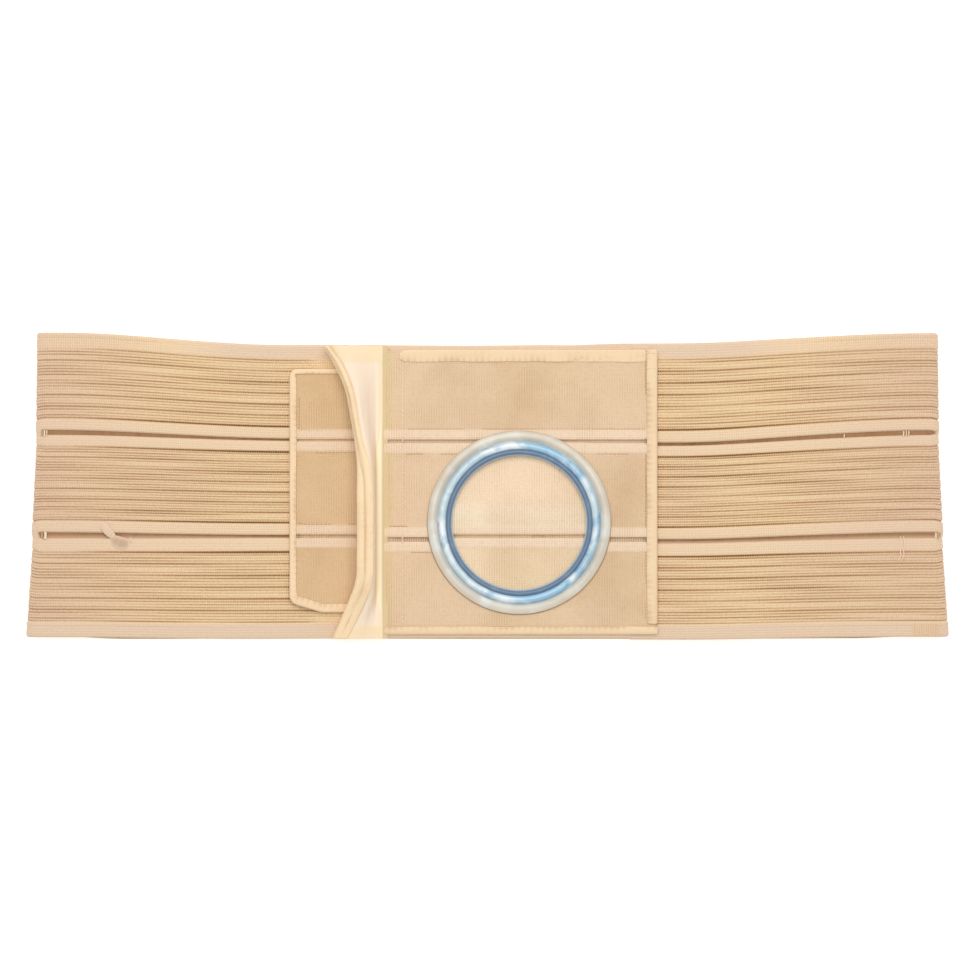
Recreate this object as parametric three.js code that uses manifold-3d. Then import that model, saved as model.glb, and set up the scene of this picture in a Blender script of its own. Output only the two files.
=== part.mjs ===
// Ostomy support belt: three ribbed elastic bands closed into a loop by a bound front panel with a pouch
// ring, over a closure tab. It lies flat on its back. Millimetres, +Z up off the surface, +X along the belt,
// +Y towards the wearer's head, origin on the surface under the middle of the belt.

import * as THREE from "three";
import { mergeVertices } from "three/addons/utils/BufferGeometryUtils.js";
import Module from "manifold-3d";

const { lerp, smoothstep } = THREE.MathUtils;

// Driving dimensions

// Space left between two pieces that lie on each other
const SEAT_GAP = 0.3;

// Elastic: wall, the depth and half width of a rib groove, and the outer radius of the folds at both ends
const ELASTIC_THICKNESS = 1.8;
const GROOVE_DEPTH = 0.55;
const GROOVE_HALF_WIDTH = 0.7;
const FOLD_RADIUS = 5.5;

// Heights of the elastic's outer face beside the tab and beside the front panel
const LEFT_FRONT_LEVEL = 8.6;
const RIGHT_FRONT_LEVEL = 10.3;

// Where the elastic ends under the tab and under the panel
const LEFT_FRONT_END = -72;
const RIGHT_FRONT_END = 74;

// The front rises from the panel's level to the folds, and the bands fan apart, between these distances
// from the middle of the belt. On the back its outer edges come in again just past the folds.
const RISE_START = 104;
const RISE_END = 226;
const FAN_START = 100;
const BACK_FAN_START = 190;
const FAN_END = 226;

// One row for each elastic band: its top and bottom edge beside the panel on either side, where the front
// turns into the fold, where the fold turns into the back, and along the back, how far the fold reaches at
// both edges, and how many grooves it has, with the first and last as shares of its width. The slits of the
// back lie clear of those of the front, so that each backs the other.
const BANDS = [
  {
    name: "elastic_upper",
    left: [73.3, 24.4], right: [74.2, 22.7], fold: [79.5, 28.8], turn: [79.5, 27.9], back: [73.3, 18.8],
    reach: [234.3, 235.0], grooves: 7, firstGroove: 0.166, lastGroove: 0.873,
  },
  {
    name: "elastic_middle",
    left: [23.3, -25.6], right: [21.1, -27.5], fold: [26.4, -24.1], turn: [27.2, -25.2], back: [18.0, -18.2],
    reach: [234.5, 237.2], grooves: 8, firstGroove: 0.12, lastGroove: 0.87,
  },
  {
    name: "elastic_lower",
    left: [-27.1, -79.5], right: [-29.5, -79.5], fold: [-27.0, -78.2], turn: [-25.9, -78.2],
    back: [-19.0, -79.5],
    reach: [236.5, 240.0], grooves: 7, firstGroove: 0.14, lastGroove: 0.836,
  },
];

// Share of the fold's half turn over which the slits close
const SLIT_CLOSES = 0.4;

// The way of a band round the loop, with the facets that each stretch is given
const LOOP_STRETCHES = [
  { stretch: "frontRight", steps: 6 },
  { stretch: "rightFold", steps: 8 },
  { stretch: "back", steps: 12 },
  { stretch: "leftFold", steps: 8 },
  { stretch: "frontLeft", steps: 6 },
];

// Closure tab: the inner end of the belt, which runs on under the front panel
const TAB_THICKNESS = 1.4;
const TAB_LEFT = -101.8;
const TAB_RIGHT = 60;
const TAB_CORNER = 3;
const TAB_CUT_LENGTH = 16;
const TAB_CUT_HEIGHT = 4.6;
const TAB_STRIPS = [
  { name: "tab_upper", top: 59.9, bottom: 24.3 },
  { name: "tab_middle", top: 23.2, bottom: -25.3 },
  { name: "tab_lower", top: -26.9, bottom: -64.6 },
];

// Front panel
const PANEL_THICKNESS = 1.6;
const PANEL_LEFT = -54;
const PANEL_RIGHT = 87.2;
const PANEL_STRIPS = [
  { name: "panel_upper", top: 69.7, bottom: 24.0 },
  { name: "panel_middle", top: 22.2, bottom: -26.6 },
  { name: "panel_lower", top: -28.9, bottom: -76.0 },
];

// Binding tape: its wall, and how far it covers each edge that it is folded over
const TAPE_THICKNESS = 0.9;
const TAB_TAPE_COVER = 4.4;
const TOP_TAPE_COVER = 5.3;
const RIGHT_TAPE_COVER = 4.6;
const BOTTOM_TAPE_COVER = 3.8;
const FLAP_TAPE_COVER = 8;
const TOP_TAPE_START = -43.4;
const TAB_TAPE_END = -57;

// Closure flap: it stands on its fold at the panel's left edge. One row for each section up the belt: how
// far the cloth leans left of the fold and rises above it where the taped edge begins, and how far the
// taped edge then reaches left and drops.
const FLAP_THICKNESS = 1.2;
const FLAP_STEPS = 24;

// Shares of its rise and lean over which the flap leaves its fold and turns into the taped edge
const FLAP_STAND = 0.6;
const FLAP_TURN = 0.4;
const FLAP_SECTIONS = [
  { y: -79.2, lean: 17.7, rise: 5.5, reach: 8.0, drop: 2.0 },
  { y: -69.5, lean: 12.7, rise: 7.5, reach: 8.1, drop: 2.0 },
  { y: -59.0, lean: 7.6, rise: 10.5, reach: 8.1, drop: 1.9 },
  { y: -49.0, lean: 4.6, rise: 13.0, reach: 8.1, drop: 1.7 },
  { y: -38.0, lean: 4.2, rise: 14.0, reach: 8.1, drop: 1.7 },
  { y: 2.0, lean: 4.5, rise: 14.0, reach: 7.8, drop: 2.8 },
  { y: 13.0, lean: 6.5, rise: 14.0, reach: 5.6, drop: 6.1 },
  { y: 24.0, lean: 9.0, rise: 13.5, reach: 3.8, drop: 7.4 },
  { y: 34.0, lean: 11.0, rise: 13.0, reach: 3.4, drop: 7.6 },
  { y: 50.0, lean: 14.2, rise: 12.0, reach: 3.3, drop: 7.6 },
  { y: 63.0, lean: 19.3, rise: 11.0, reach: 3.7, drop: 7.4 },
  { y: 72.6, lean: 25.0, rise: 10.0, reach: 2.4, drop: 7.9 },
];

// Pouch ring: its place on the panel, and its radii
const RING_X = 16.4;
const RING_Y = -19;
const RIM_INNER_RADIUS = 34.8;
const RIM_OUTER_RADIUS = 38.2;
const BEAD_RADIUS = 43.2;
const FLANGE_RADIUS = 46.8;
const RIM_HEIGHT = 4.8;
const BEAD_HEIGHT = 2.6;
const BEAD_ROUND = 1.9;
const FLANGE_EDGE = 0.7;
const FLANGE_CREST = 1.2;
const FLANGE_GROOVE = 0.9;
const RING_CHAMFER = 0.6;
const RING_FACETS = 48;

// Levels that follow from the stack of pieces

const TAB_BOTTOM_LEVEL = LEFT_FRONT_LEVEL + SEAT_GAP;
const TAB_TOP_LEVEL = TAB_BOTTOM_LEVEL + TAB_THICKNESS;
const PANEL_BOTTOM_LEVEL = Math.max(TAB_TOP_LEVEL, RIGHT_FRONT_LEVEL) + SEAT_GAP;
const RING_HOLE_RADIUS = RIM_OUTER_RADIUS + SEAT_GAP;

const LOOP_STEPS = LOOP_STRETCHES.reduce((sum, row) => sum + row.steps, 0);

// Materials

const cloth = (color) => new THREE.MeshStandardMaterial({ color, roughness: 0.95, metalness: 0 });
const MATERIALS = {
  elastic: cloth(0xe2c197),
  knit: cloth(0xe3c29c),
  tape: cloth(0xf3dcb0),
  lining: cloth(0xf3e0cb),
  flange: new THREE.MeshStandardMaterial({
    color: 0xc9dde4, roughness: 0.2, metalness: 0, transparent: true, opacity: 0.8,
  }),
  rim: new THREE.MeshStandardMaterial({ color: 0x55708f, roughness: 0.4, metalness: 0 }),
};

// Geometry helpers

// Moves every vertex of a geometry to the place that a function gives for it.
function shaped(geometry, place) {
  const position = geometry.getAttribute("position");
  const vertex = new THREE.Vector3();
  for (let i = 0; i < position.count; i += 1) {
    const to = place(vertex.fromBufferAttribute(position, i));
    position.setXYZ(i, to.x, to.y, to.z);
  }
  geometry.computeVertexNormals();
  return geometry;
}

// A section carried through a list of frames, each with an origin and the section's x and y directions.
function swept(section, frames) {
  const steps = frames.length - 1;
  const bar = new THREE.ExtrudeGeometry(section, { depth: steps, steps, bevelEnabled: false });
  return shaped(bar, ({ x, y, z }) => {
    const { origin, out, up } = frames[Math.round(z)];
    return origin.clone().addScaledVector(out, x).addScaledVector(up, y);
  });
}

const polygon = (points) => new THREE.Shape(points.map(([x, y]) => new THREE.Vector2(x, y)));

const wasm = await Module();
wasm.setup();

function solidOf(geometry) {
  const bare = new THREE.BufferGeometry().setAttribute("position", geometry.getAttribute("position"));
  bare.setIndex(geometry.getIndex());
  const merged = mergeVertices(bare, 1e-4);
  return new wasm.Manifold(new wasm.Mesh({
    numProp: 3,
    vertProperties: merged.getAttribute("position").array,
    triVerts: new Uint32Array(merged.getIndex().array),
  }));
}

function cut(geometry, tool) {
  const mesh = solidOf(geometry).subtract(solidOf(tool)).getMesh();
  const made = new THREE.BufferGeometry();
  made.setAttribute("position", new THREE.BufferAttribute(mesh.vertProperties, mesh.numProp));
  made.setIndex(new THREE.BufferAttribute(mesh.triVerts, 1));
  made.computeVertexNormals();
  return made;
}

function piece(name, geometry, material) {
  const mesh = new THREE.Mesh(geometry, material);
  mesh.name = name;
  return mesh;
}

function group(...children) {
  const made = new THREE.Group();
  made.add(...children);
  return made;
}

// Elastic bands

// The band across its width: x is the share of the width from the top edge, y the depth under its face.
function ribbedSection(band) {
  const width = band.left[0] - band.left[1];
  const halfGroove = GROOVE_HALF_WIDTH / width;
  const outer = [[0, 0]];
  for (let i = 0; i < band.grooves; i += 1) {
    const middle = lerp(band.firstGroove, band.lastGroove, i / (band.grooves - 1));
    outer.push([middle - halfGroove, 0], [middle, GROOVE_DEPTH], [middle + halfGroove, 0]);
  }
  return polygon([...outer, [1, 0], [1, ELASTIC_THICKNESS], [0, ELASTIC_THICKNESS]]);
}

// The stretch of the loop that a facet line lies on, and how far along it.
function stretchAt(step) {
  let first = 0;
  for (const { stretch, steps } of LOOP_STRETCHES) {
    if (step <= first + steps) return { stretch, along: (step - first) / steps };
    first += steps;
  }
  throw new RangeError(`the loop has no step ${step}`);
}

// The outer face of the front, which rises from the panel's level to the top of the folds.
function frontHeight(x, level) {
  return lerp(level, 2 * FOLD_RADIUS, smoothstep(Math.abs(x), RISE_START, RISE_END));
}

// A point of the loop seen from its lower edge, where the fold begins at foldStart on either side.
function loopProfile({ stretch, along }, foldStart, depth) {
  const radius = FOLD_RADIUS - depth;
  const turn = Math.PI * along;
  switch (stretch) {
    case "frontRight": {
      const x = lerp(RIGHT_FRONT_END, foldStart, along);
      return { x, z: frontHeight(x, RIGHT_FRONT_LEVEL) - depth };
    }
    case "rightFold":
      return { x: foldStart + radius * Math.sin(turn), z: FOLD_RADIUS + radius * Math.cos(turn) };
    case "back":
      return { x: lerp(foldStart, -foldStart, along), z: depth };
    case "leftFold":
      return { x: -foldStart - radius * Math.sin(turn), z: FOLD_RADIUS - radius * Math.cos(turn) };
    default: {
      const x = lerp(-foldStart, LEFT_FRONT_END, along);
      return { x, z: frontHeight(x, LEFT_FRONT_LEVEL) - depth };
    }
  }
}

// The band's top and bottom edge at a point of the loop.
function bandEdges(band, { stretch, along }, x) {
  const fan = (start) => smoothstep(Math.abs(x), start, FAN_END);
  const [from, to, share] = {
    frontRight: [band.right, band.fold, fan(FAN_START)],
    rightFold: [band.fold, band.turn, smoothstep(along, 0, SLIT_CLOSES)],
    back: [band.back, band.turn, fan(BACK_FAN_START)],
    leftFold: [band.fold, band.turn, smoothstep(1 - along, 0, SLIT_CLOSES)],
    frontLeft: [band.left, band.fold, fan(FAN_START)],
  }[stretch];
  return from.map((edge, i) => lerp(edge, to[i], share));
}

function elasticBand(band) {
  const bar = new THREE.ExtrudeGeometry(ribbedSection(band), {
    depth: LOOP_STEPS, steps: LOOP_STEPS, bevelEnabled: false,
  });
  const geometry = shaped(bar, ({ x: share, y: depth, z: step }) => {
    const foldStart = lerp(...band.reach, share) - FOLD_RADIUS;
    const place = stretchAt(Math.round(step));
    const { x, z } = loopProfile(place, foldStart, depth);
    return { x, y: lerp(...bandEdges(band, place, x), share), z };
  });
  return piece(band.name, geometry, MATERIALS.elastic);
}

// Binding tape

// Tape folded over a cloth edge: x points out past the edge, y is measured from the cloth's mid-plane.
// A capping tape covers the cloth's face and edge, and a wrapping tape covers both faces.
function tapeSection(clothThickness, cover, wraps) {
  const half = clothThickness / 2;
  const inside = half + SEAT_GAP;
  const outside = inside + TAPE_THICKNESS;
  const nose = SEAT_GAP + TAPE_THICKNESS;
  const face = [[SEAT_GAP, inside], [-cover, inside], [-cover, outside], [0, outside], [nose, half]];
  const under = wraps
    ? [[nose, -half], [0, -outside], [-cover, -outside], [-cover, -inside], [SEAT_GAP, -inside]]
    : [[nose, -half], [SEAT_GAP, -half]];
  return polygon([...face, ...under]);
}

// Frames along a flat line of points, with the cloth's edge on the left of the way that it runs.
function edgeFrames(points, height) {
  return points.map((point, i) => {
    const before = points[Math.max(i - 1, 0)];
    const after = points[Math.min(i + 1, points.length - 1)];
    const along = after.clone().sub(before).normalize();
    return {
      origin: new THREE.Vector3(point.x, point.y, height),
      out: new THREE.Vector3(-along.y, along.x, 0),
      up: new THREE.Vector3(0, 0, 1),
    };
  });
}

function straightTape(name, from, to, cover) {
  const frames = edgeFrames([new THREE.Vector2(...from), new THREE.Vector2(...to)], PANEL_THICKNESS / 2);
  return piece(name, swept(tapeSection(PANEL_THICKNESS, cover, false), frames), MATERIALS.tape);
}

// Closure tab

const tabTop = TAB_STRIPS[0].top;
const tabBottom = TAB_STRIPS[TAB_STRIPS.length - 1].bottom;

// The tab's bound edge from the lower right, round the slanted lower corner and the rounded upper one.
function traceTabEdge(path) {
  const cutTop = tabBottom + TAB_CUT_HEIGHT;
  const slant = TAB_CUT_HEIGHT / TAB_CUT_LENGTH;
  path.moveTo(TAB_TAPE_END, tabBottom);
  path.lineTo(TAB_LEFT + TAB_CUT_LENGTH, tabBottom);
  path.lineTo(TAB_LEFT + TAB_CORNER, cutTop - slant * TAB_CORNER);
  path.quadraticCurveTo(TAB_LEFT, cutTop, TAB_LEFT, cutTop + TAB_CORNER);
  path.lineTo(TAB_LEFT, tabTop - TAB_CORNER);
  path.quadraticCurveTo(TAB_LEFT, tabTop, TAB_LEFT + TAB_CORNER, tabTop);
  path.lineTo(TAB_TAPE_END, tabTop);
  return path;
}

const TAB_CORNER_FACETS = 5;

function tabOutline() {
  const shape = traceTabEdge(new THREE.Shape());
  shape.lineTo(TAB_RIGHT, tabTop);
  shape.lineTo(TAB_RIGHT, tabBottom);
  return new THREE.ExtrudeGeometry(shape, {
    depth: TAB_THICKNESS, curveSegments: TAB_CORNER_FACETS, bevelEnabled: false,
  });
}

// The tab's outline with everything above and below one strip cut away.
function tabStrip({ name, top, bottom }) {
  const length = 2 * (TAB_RIGHT - TAB_LEFT);
  const height = tabTop - tabBottom;
  const block = () => new THREE.BoxGeometry(length, height, 4 * TAB_THICKNESS);
  const cutter = (low) => block().translate(0, low + height / 2, 0);
  const below = cut(tabOutline(), cutter(bottom - height));
  return piece(name, cut(below, cutter(top)), MATERIALS.knit);
}

function tabBinding() {
  const edge = traceTabEdge(new THREE.Path()).getPoints(TAB_CORNER_FACETS);
  const section = tapeSection(TAB_THICKNESS, TAB_TAPE_COVER, false);
  return piece("tab_binding", swept(section, edgeFrames(edge, TAB_THICKNESS / 2)), MATERIALS.tape);
}

function closureTab() {
  const tab = group(...TAB_STRIPS.map(tabStrip), tabBinding());
  tab.position.z = TAB_BOTTOM_LEVEL;
  return tab;
}

// Front panel

const panelTop = PANEL_STRIPS[0].top;
const panelBottom = PANEL_STRIPS[PANEL_STRIPS.length - 1].bottom;

function panelStrip({ name, top, bottom }) {
  const length = PANEL_RIGHT - PANEL_LEFT;
  const strip = new THREE.BoxGeometry(length, top - bottom, PANEL_THICKNESS)
    .translate(PANEL_LEFT + length / 2, (top + bottom) / 2, PANEL_THICKNESS / 2);
  const depth = 4 * PANEL_THICKNESS;
  const hole = new THREE.CylinderGeometry(RING_HOLE_RADIUS, RING_HOLE_RADIUS, depth, RING_FACETS)
    .rotateX(Math.PI / 2)
    .translate(RING_X, RING_Y, 0);
  return piece(name, cut(strip, hole), MATERIALS.knit);
}

function frontPanel() {
  const sideTape = PANEL_RIGHT - RIGHT_TAPE_COVER - SEAT_GAP;
  const endTape = SEAT_GAP + TAPE_THICKNESS;
  const panel = group(
    ...PANEL_STRIPS.map(panelStrip),
    straightTape("panel_top_binding", [TOP_TAPE_START, panelTop], [sideTape, panelTop], TOP_TAPE_COVER),
    straightTape(
      "panel_right_binding",
      [PANEL_RIGHT, panelTop + endTape],
      [PANEL_RIGHT, panelBottom + BOTTOM_TAPE_COVER + SEAT_GAP],
      RIGHT_TAPE_COVER,
    ),
    straightTape(
      "panel_bottom_binding",
      [PANEL_RIGHT + endTape, panelBottom],
      [PANEL_LEFT, panelBottom],
      BOTTOM_TAPE_COVER,
    ),
  );
  panel.position.z = PANEL_BOTTOM_LEVEL;
  return panel;
}

// Closure flap

const flapTable = new THREE.CubicInterpolant(
  FLAP_SECTIONS.map((row) => row.y),
  FLAP_SECTIONS.flatMap((row) => [row.lean, row.rise, row.reach, row.drop]),
  4,
);
const FLAP_BOTTOM = FLAP_SECTIONS[0].y;
const FLAP_TOP = FLAP_SECTIONS[FLAP_SECTIONS.length - 1].y;

// Shares of the flap's facets across its width: the curved cloth, and the straight edge inside the tape.
const FLAP_FACETS = 10;
const FLAP_CLOTH_SHARE = 0.8;

// The flap's mid-line at one height, from its fold at the origin: a curve that leaves the fold upwards and
// runs straight into the taped edge.
function flapSection(y) {
  const [lean, rise, reach, drop] = flapTable.evaluate(y);
  const taped = new THREE.Vector2(-lean, rise);
  const towardsEdge = new THREE.Vector2(-reach, -drop).normalize();
  const curve = new THREE.CubicBezierCurve(
    new THREE.Vector2(0, 0),
    new THREE.Vector2(0, rise * FLAP_STAND),
    taped.clone().addScaledVector(towardsEdge, -lean * FLAP_TURN),
    taped,
  );
  return { curve, taped, towardsEdge };
}

// A point of the flap's mid-line, and the direction across the cloth there.
function flapPoint(y, share) {
  const { curve, taped, towardsEdge } = flapSection(y);
  const inTape = Math.max(0, share - FLAP_CLOTH_SHARE) / (1 - FLAP_CLOTH_SHARE);
  const t = Math.min(1, share / FLAP_CLOTH_SHARE);
  const point = share > FLAP_CLOTH_SHARE
    ? taped.clone().addScaledVector(towardsEdge, inTape * (FLAP_TAPE_COVER + SEAT_GAP))
    : curve.getPoint(t);
  const along = share > FLAP_CLOTH_SHARE ? towardsEdge : curve.getTangent(t);
  return { point, across: new THREE.Vector2(along.y, -along.x) };
}

function flapCloth() {
  const sheet = new THREE.BoxGeometry(1, 1, 1, FLAP_FACETS, FLAP_STEPS, 1);
  const geometry = shaped(sheet, (vertex) => {
    const y = lerp(FLAP_BOTTOM, FLAP_TOP, vertex.y + 0.5);
    const { point, across } = flapPoint(y, 0.5 - vertex.x);
    point.addScaledVector(across, vertex.z * FLAP_THICKNESS);
    return { x: point.x, y, z: point.y };
  });
  return piece("flap", geometry, MATERIALS.lining);
}

function flapBinding() {
  const frames = [];
  for (let i = 0; i <= FLAP_STEPS; i += 1) {
    const y = lerp(FLAP_BOTTOM, FLAP_TOP, i / FLAP_STEPS);
    const { point, across } = flapPoint(y, 1);
    const { towardsEdge } = flapSection(y);
    frames.push({
      origin: new THREE.Vector3(point.x, y, point.y),
      out: new THREE.Vector3(towardsEdge.x, 0, towardsEdge.y),
      up: new THREE.Vector3(across.x, 0, across.y),
    });
  }
  const section = tapeSection(FLAP_THICKNESS, FLAP_TAPE_COVER - SEAT_GAP, true);
  return piece("flap_binding", swept(section, frames), MATERIALS.tape);
}

function closureFlap() {
  const flap = group(flapCloth(), flapBinding());
  flap.position.set(PANEL_LEFT - SEAT_GAP - FLAP_THICKNESS / 2, 0, PANEL_BOTTOM_LEVEL);
  return flap;
}

// Pouch ring

// A ring turned from the radius and height of each corner of its section.
function turned(corners) {
  const profile = [...corners, corners[0]].map(([radius, height]) => new THREE.Vector2(radius, height));
  return new THREE.LatheGeometry(profile, RING_FACETS).rotateX(Math.PI / 2);
}

function pouchRing() {
  const seat = PANEL_THICKNESS + SEAT_GAP;
  const inner = RING_HOLE_RADIUS;
  const beadTop = seat + BEAD_HEIGHT;
  const flange = turned([
    [inner, seat],
    [FLANGE_RADIUS, seat],
    [FLANGE_RADIUS, seat + FLANGE_EDGE],
    [BEAD_RADIUS + RING_CHAMFER, seat + FLANGE_CREST],
    [BEAD_RADIUS, seat + FLANGE_GROOVE],
    [BEAD_RADIUS - RING_CHAMFER, beadTop - RING_CHAMFER],
    [BEAD_RADIUS - BEAD_ROUND, beadTop],
    [inner + RING_CHAMFER, beadTop],
    [inner, beadTop - RING_CHAMFER],
  ]);
  const rim = turned([
    [RIM_INNER_RADIUS, 0],
    [RIM_OUTER_RADIUS, 0],
    [RIM_OUTER_RADIUS, RIM_HEIGHT - RING_CHAMFER],
    [RIM_OUTER_RADIUS - RING_CHAMFER, RIM_HEIGHT],
    [RIM_INNER_RADIUS + RING_CHAMFER, RIM_HEIGHT],
    [RIM_INNER_RADIUS, RIM_HEIGHT - RING_CHAMFER],
  ]);
  const ring = group(
    piece("ring_flange", flange, MATERIALS.flange),
    piece("ring_rim", rim, MATERIALS.rim),
  );
  ring.position.set(RING_X, RING_Y, PANEL_BOTTOM_LEVEL);
  return ring;
}

// The belt

const belt = group(...BANDS.map(elasticBand), closureTab(), frontPanel(), closureFlap(), pouchRing());

export default belt;
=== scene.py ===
"""The look of an ostomy support belt that lies flat, laid out as a Blender add-on and run as a script.

Metres, +Z up, +X along the belt and +Y towards the wearer's head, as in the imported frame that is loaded
first. Each cloth is made again over its CAD solid, with its ribs, weave, bound edges and stitches.
"""

import math

import bmesh
import bpy
from bpy.props import FloatProperty, FloatVectorProperty, IntProperty, PointerProperty
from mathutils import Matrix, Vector, noise


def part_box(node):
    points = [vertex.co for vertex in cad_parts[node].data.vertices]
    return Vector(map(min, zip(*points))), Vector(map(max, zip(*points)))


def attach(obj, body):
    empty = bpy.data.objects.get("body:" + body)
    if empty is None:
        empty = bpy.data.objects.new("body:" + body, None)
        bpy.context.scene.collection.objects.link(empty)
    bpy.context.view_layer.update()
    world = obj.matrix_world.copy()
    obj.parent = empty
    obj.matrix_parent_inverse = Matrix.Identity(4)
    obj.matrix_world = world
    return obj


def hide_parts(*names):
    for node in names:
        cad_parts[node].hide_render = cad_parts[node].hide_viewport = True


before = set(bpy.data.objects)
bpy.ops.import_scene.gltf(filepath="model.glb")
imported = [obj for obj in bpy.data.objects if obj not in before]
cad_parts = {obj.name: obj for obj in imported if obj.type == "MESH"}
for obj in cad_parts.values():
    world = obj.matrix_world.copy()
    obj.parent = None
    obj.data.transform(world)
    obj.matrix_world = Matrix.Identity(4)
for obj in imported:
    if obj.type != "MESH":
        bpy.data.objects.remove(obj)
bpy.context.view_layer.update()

bl_info = {
    "name": "Ostomy Support Belt",
    "version": (1, 0, 0),
    "blender": (4, 5, 0),
    "location": "View3D > Sidebar > Belt",
    "description": "Builds the cloth, stitches, ring and stage of an ostomy support belt",
    "category": "Object",
}

# What the plain strip above or below a band's grooves is
SELVAGE = 1.0
HEM = 2.0

# One row for each elastic band: its top and bottom edge beside the tab, beside the panel, where the front
# turns into the folds, in the folds, and along the back, how far the folds reach at both edges, its coarse
# grooves (how many, and the first and last as shares of the width), its upper and lower plain strip, and a
# sewn line (its share of the width, and its depth, which is below 0 for a ridge)
BANDS = [
    {
        "node": "elastic_upper",
        "left": (0.0733, 0.0244), "right": (0.0742, 0.0227), "fold": (0.0795, 0.0288),
        "turn": (0.0795, 0.0279), "back": (0.0733, 0.0188), "reach": (0.2343, 0.2350),
        "grooves": (7, 0.166, 0.873), "plain": (HEM, SELVAGE), "sewn": (0.054, 0.0003),
    },
    {
        "node": "elastic_middle",
        "left": (0.0233, -0.0256), "right": (0.0211, -0.0275), "fold": (0.0264, -0.0241),
        "turn": (0.0272, -0.0252), "back": (0.0180, -0.0182), "reach": (0.2345, 0.2372),
        "grooves": (8, 0.12, 0.87), "plain": (SELVAGE, SELVAGE), "sewn": (0.5, 0.0),
    },
    {
        "node": "elastic_lower",
        "left": (-0.0271, -0.0795), "right": (-0.0295, -0.0795), "fold": (-0.0270, -0.0782),
        "turn": (-0.0259, -0.0782), "back": (-0.0190, -0.0795), "reach": (0.2365, 0.2400),
        "grooves": (7, 0.14, 0.836), "plain": (SELVAGE, HEM), "sewn": (0.868, -0.0003),
    },
]

# The way of a band round the loop: each stretch with its facets and its rough length
STRETCHES = [
    ("front_right", 46, 0.155),
    ("right_fold", 14, 0.0173),
    ("back", 64, 0.460),
    ("left_fold", 14, 0.0173),
    ("front_left", 46, 0.158),
]

# Where the elastic's front ends under the panel and the tab, how it rises and fans out towards the folds, and
# the share of a fold in which its slits close
FRONT_RIGHT_END = 0.074
FRONT_LEFT_END = -0.072
FRONT_RISE = (0.104, 0.226)
FRONT_FAN = (0.100, 0.226)
BACK_FAN = (0.190, 0.226)
SLIT_CLOSES = 0.4

# Half the width of a coarse groove and of a sewn line, and where along x a sewn line begins
GROOVE_HALF_WIDTH = 0.0006
SEWN_HALF_WIDTH = 0.0005
SEWN_FROM = (0.135, 0.175)

# How much painted shade a sewn line takes and how pale a ridge is for each metre of its depth or height
SEWN_SHADE = 1800
RIDGE_SHADE = 4000

# Where the elastic's relief fades beside the tab
TAB_FADE = (-0.094, -0.086)

# How far short of the left and the right fold a bar closes the slits, and how far the cross yarns are tucked
# under the bands and lie under the face, first where a slit is open, then where it is closed
LEFT_BAR = 0.0040
RIGHT_BAR = 0.0022
YARN_TUCK = (0.0005, 0.0018)
YARN_DEPTH = (0.0013, 0.00002)
YARN_THICKNESS = 0.0004

# The outer face of the elastic beside the panel and beside the tab
RIGHT_LEVEL = 0.0103
LEFT_LEVEL = 0.0086

# The closure flap's sections up the belt: how far the cloth leans left of its fold and rises where the tape
# begins, then how far each half of the tape reaches left and drops
FLAP_ROWS = [
    (-0.0792, 0.0177, 0.0055, 0.0038, 0.0008, 0.0036, 0.0011),
    (-0.0695, 0.0127, 0.0075, 0.0041, 0.0008, 0.0040, 0.0012),
    (-0.0590, 0.0076, 0.0105, 0.0043, 0.0007, 0.0043, 0.0012),
    (-0.0490, 0.0046, 0.0130, 0.0041, 0.0006, 0.0040, 0.0010),
    (-0.0380, 0.0042, 0.0140, 0.0041, 0.0006, 0.0038, 0.0010),
    (0.0020, 0.0044, 0.0140, 0.0042, 0.0008, 0.0034, 0.0018),
    (0.0130, 0.0061, 0.0140, 0.0040, 0.0015, 0.0014, 0.0040),
    (0.0240, 0.0090, 0.0135, 0.0029, 0.0020, 0.0004, 0.0046),
    (0.0340, 0.0110, 0.0130, 0.0026, 0.0020, 0.0004, 0.0046),
    (0.0500, 0.0142, 0.0120, 0.0026, 0.0020, 0.0004, 0.0046),
    (0.0630, 0.0196, 0.0110, 0.0029, 0.0024, 0.0004, 0.0046),
    (0.0726, 0.0262, 0.0100, 0.0019, 0.0030, 0.0003, 0.0046),
]

# The closure tab's outline: a rounded upper corner, and a lower corner cut on the slant
TAB_LEFT = -0.1018
TAB_TOP = 0.0599
TAB_BOTTOM = -0.0646
TAB_CORNER = 0.0030
TAB_CUT_LENGTH = 0.0160
TAB_CUT_HEIGHT = 0.0046
TAB_TAPE_END = -0.0570

# The top and foot of the strip of the tab that rolls up into the light, and the upright seam of the panel
TAB_ROLL = (-0.006, -0.0232)
PANEL_SEAM = -0.0440

# The ring's middle, and the places round it where the flange is nicked, with half their width
RING_CENTRE = Vector((0.0164, -0.0190, 0.0))
RING_NICKS = ((math.radians(-52.4), 0.062), (math.radians(49.7), 0.042))

# The radii of the ring's bead and of the flange's edge, and of the break in the panel's cross yarns
BEAD_RADIUS = 0.0402
FLANGE_RADIUS = 0.0478
YARN_BREAK = 0.0392

# The radii between which each zone of the ring's paint begins: its lip, the painted shade in the groove round
# # the bead, the end of the groove and of the bead, the frosted zone, and the painted shadow along the edge
RIM_LIP = (0.0356, 0.0347)
GROOVE_START = (0.0410, 0.0420)
GROOVE_END = (0.0423, 0.0433)
BEAD_END = (0.0418, 0.0428)
FROST = (0.0425, 0.0455)
EDGE_SHADOW = (0.0471, 0.0476)

# The cell of a knit strip's mesh, the room between a tape and the cloth in it, and the sides of a thread
KNIT_CELL_X = 0.0013
KNIT_CELL_Y = 0.0007
TAPE_ROOM = 0.0003
THREAD_SIDES = 5

# The key light's size and place, the camera's y, and the level at which it sees its field's whole width
KEY_SIZE = 1.2
KEY_PLACE = (0.0, 0.5, 1.4)
CAMERA_Y = -0.00078
CAMERA_LEVEL = 0.0055


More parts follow.
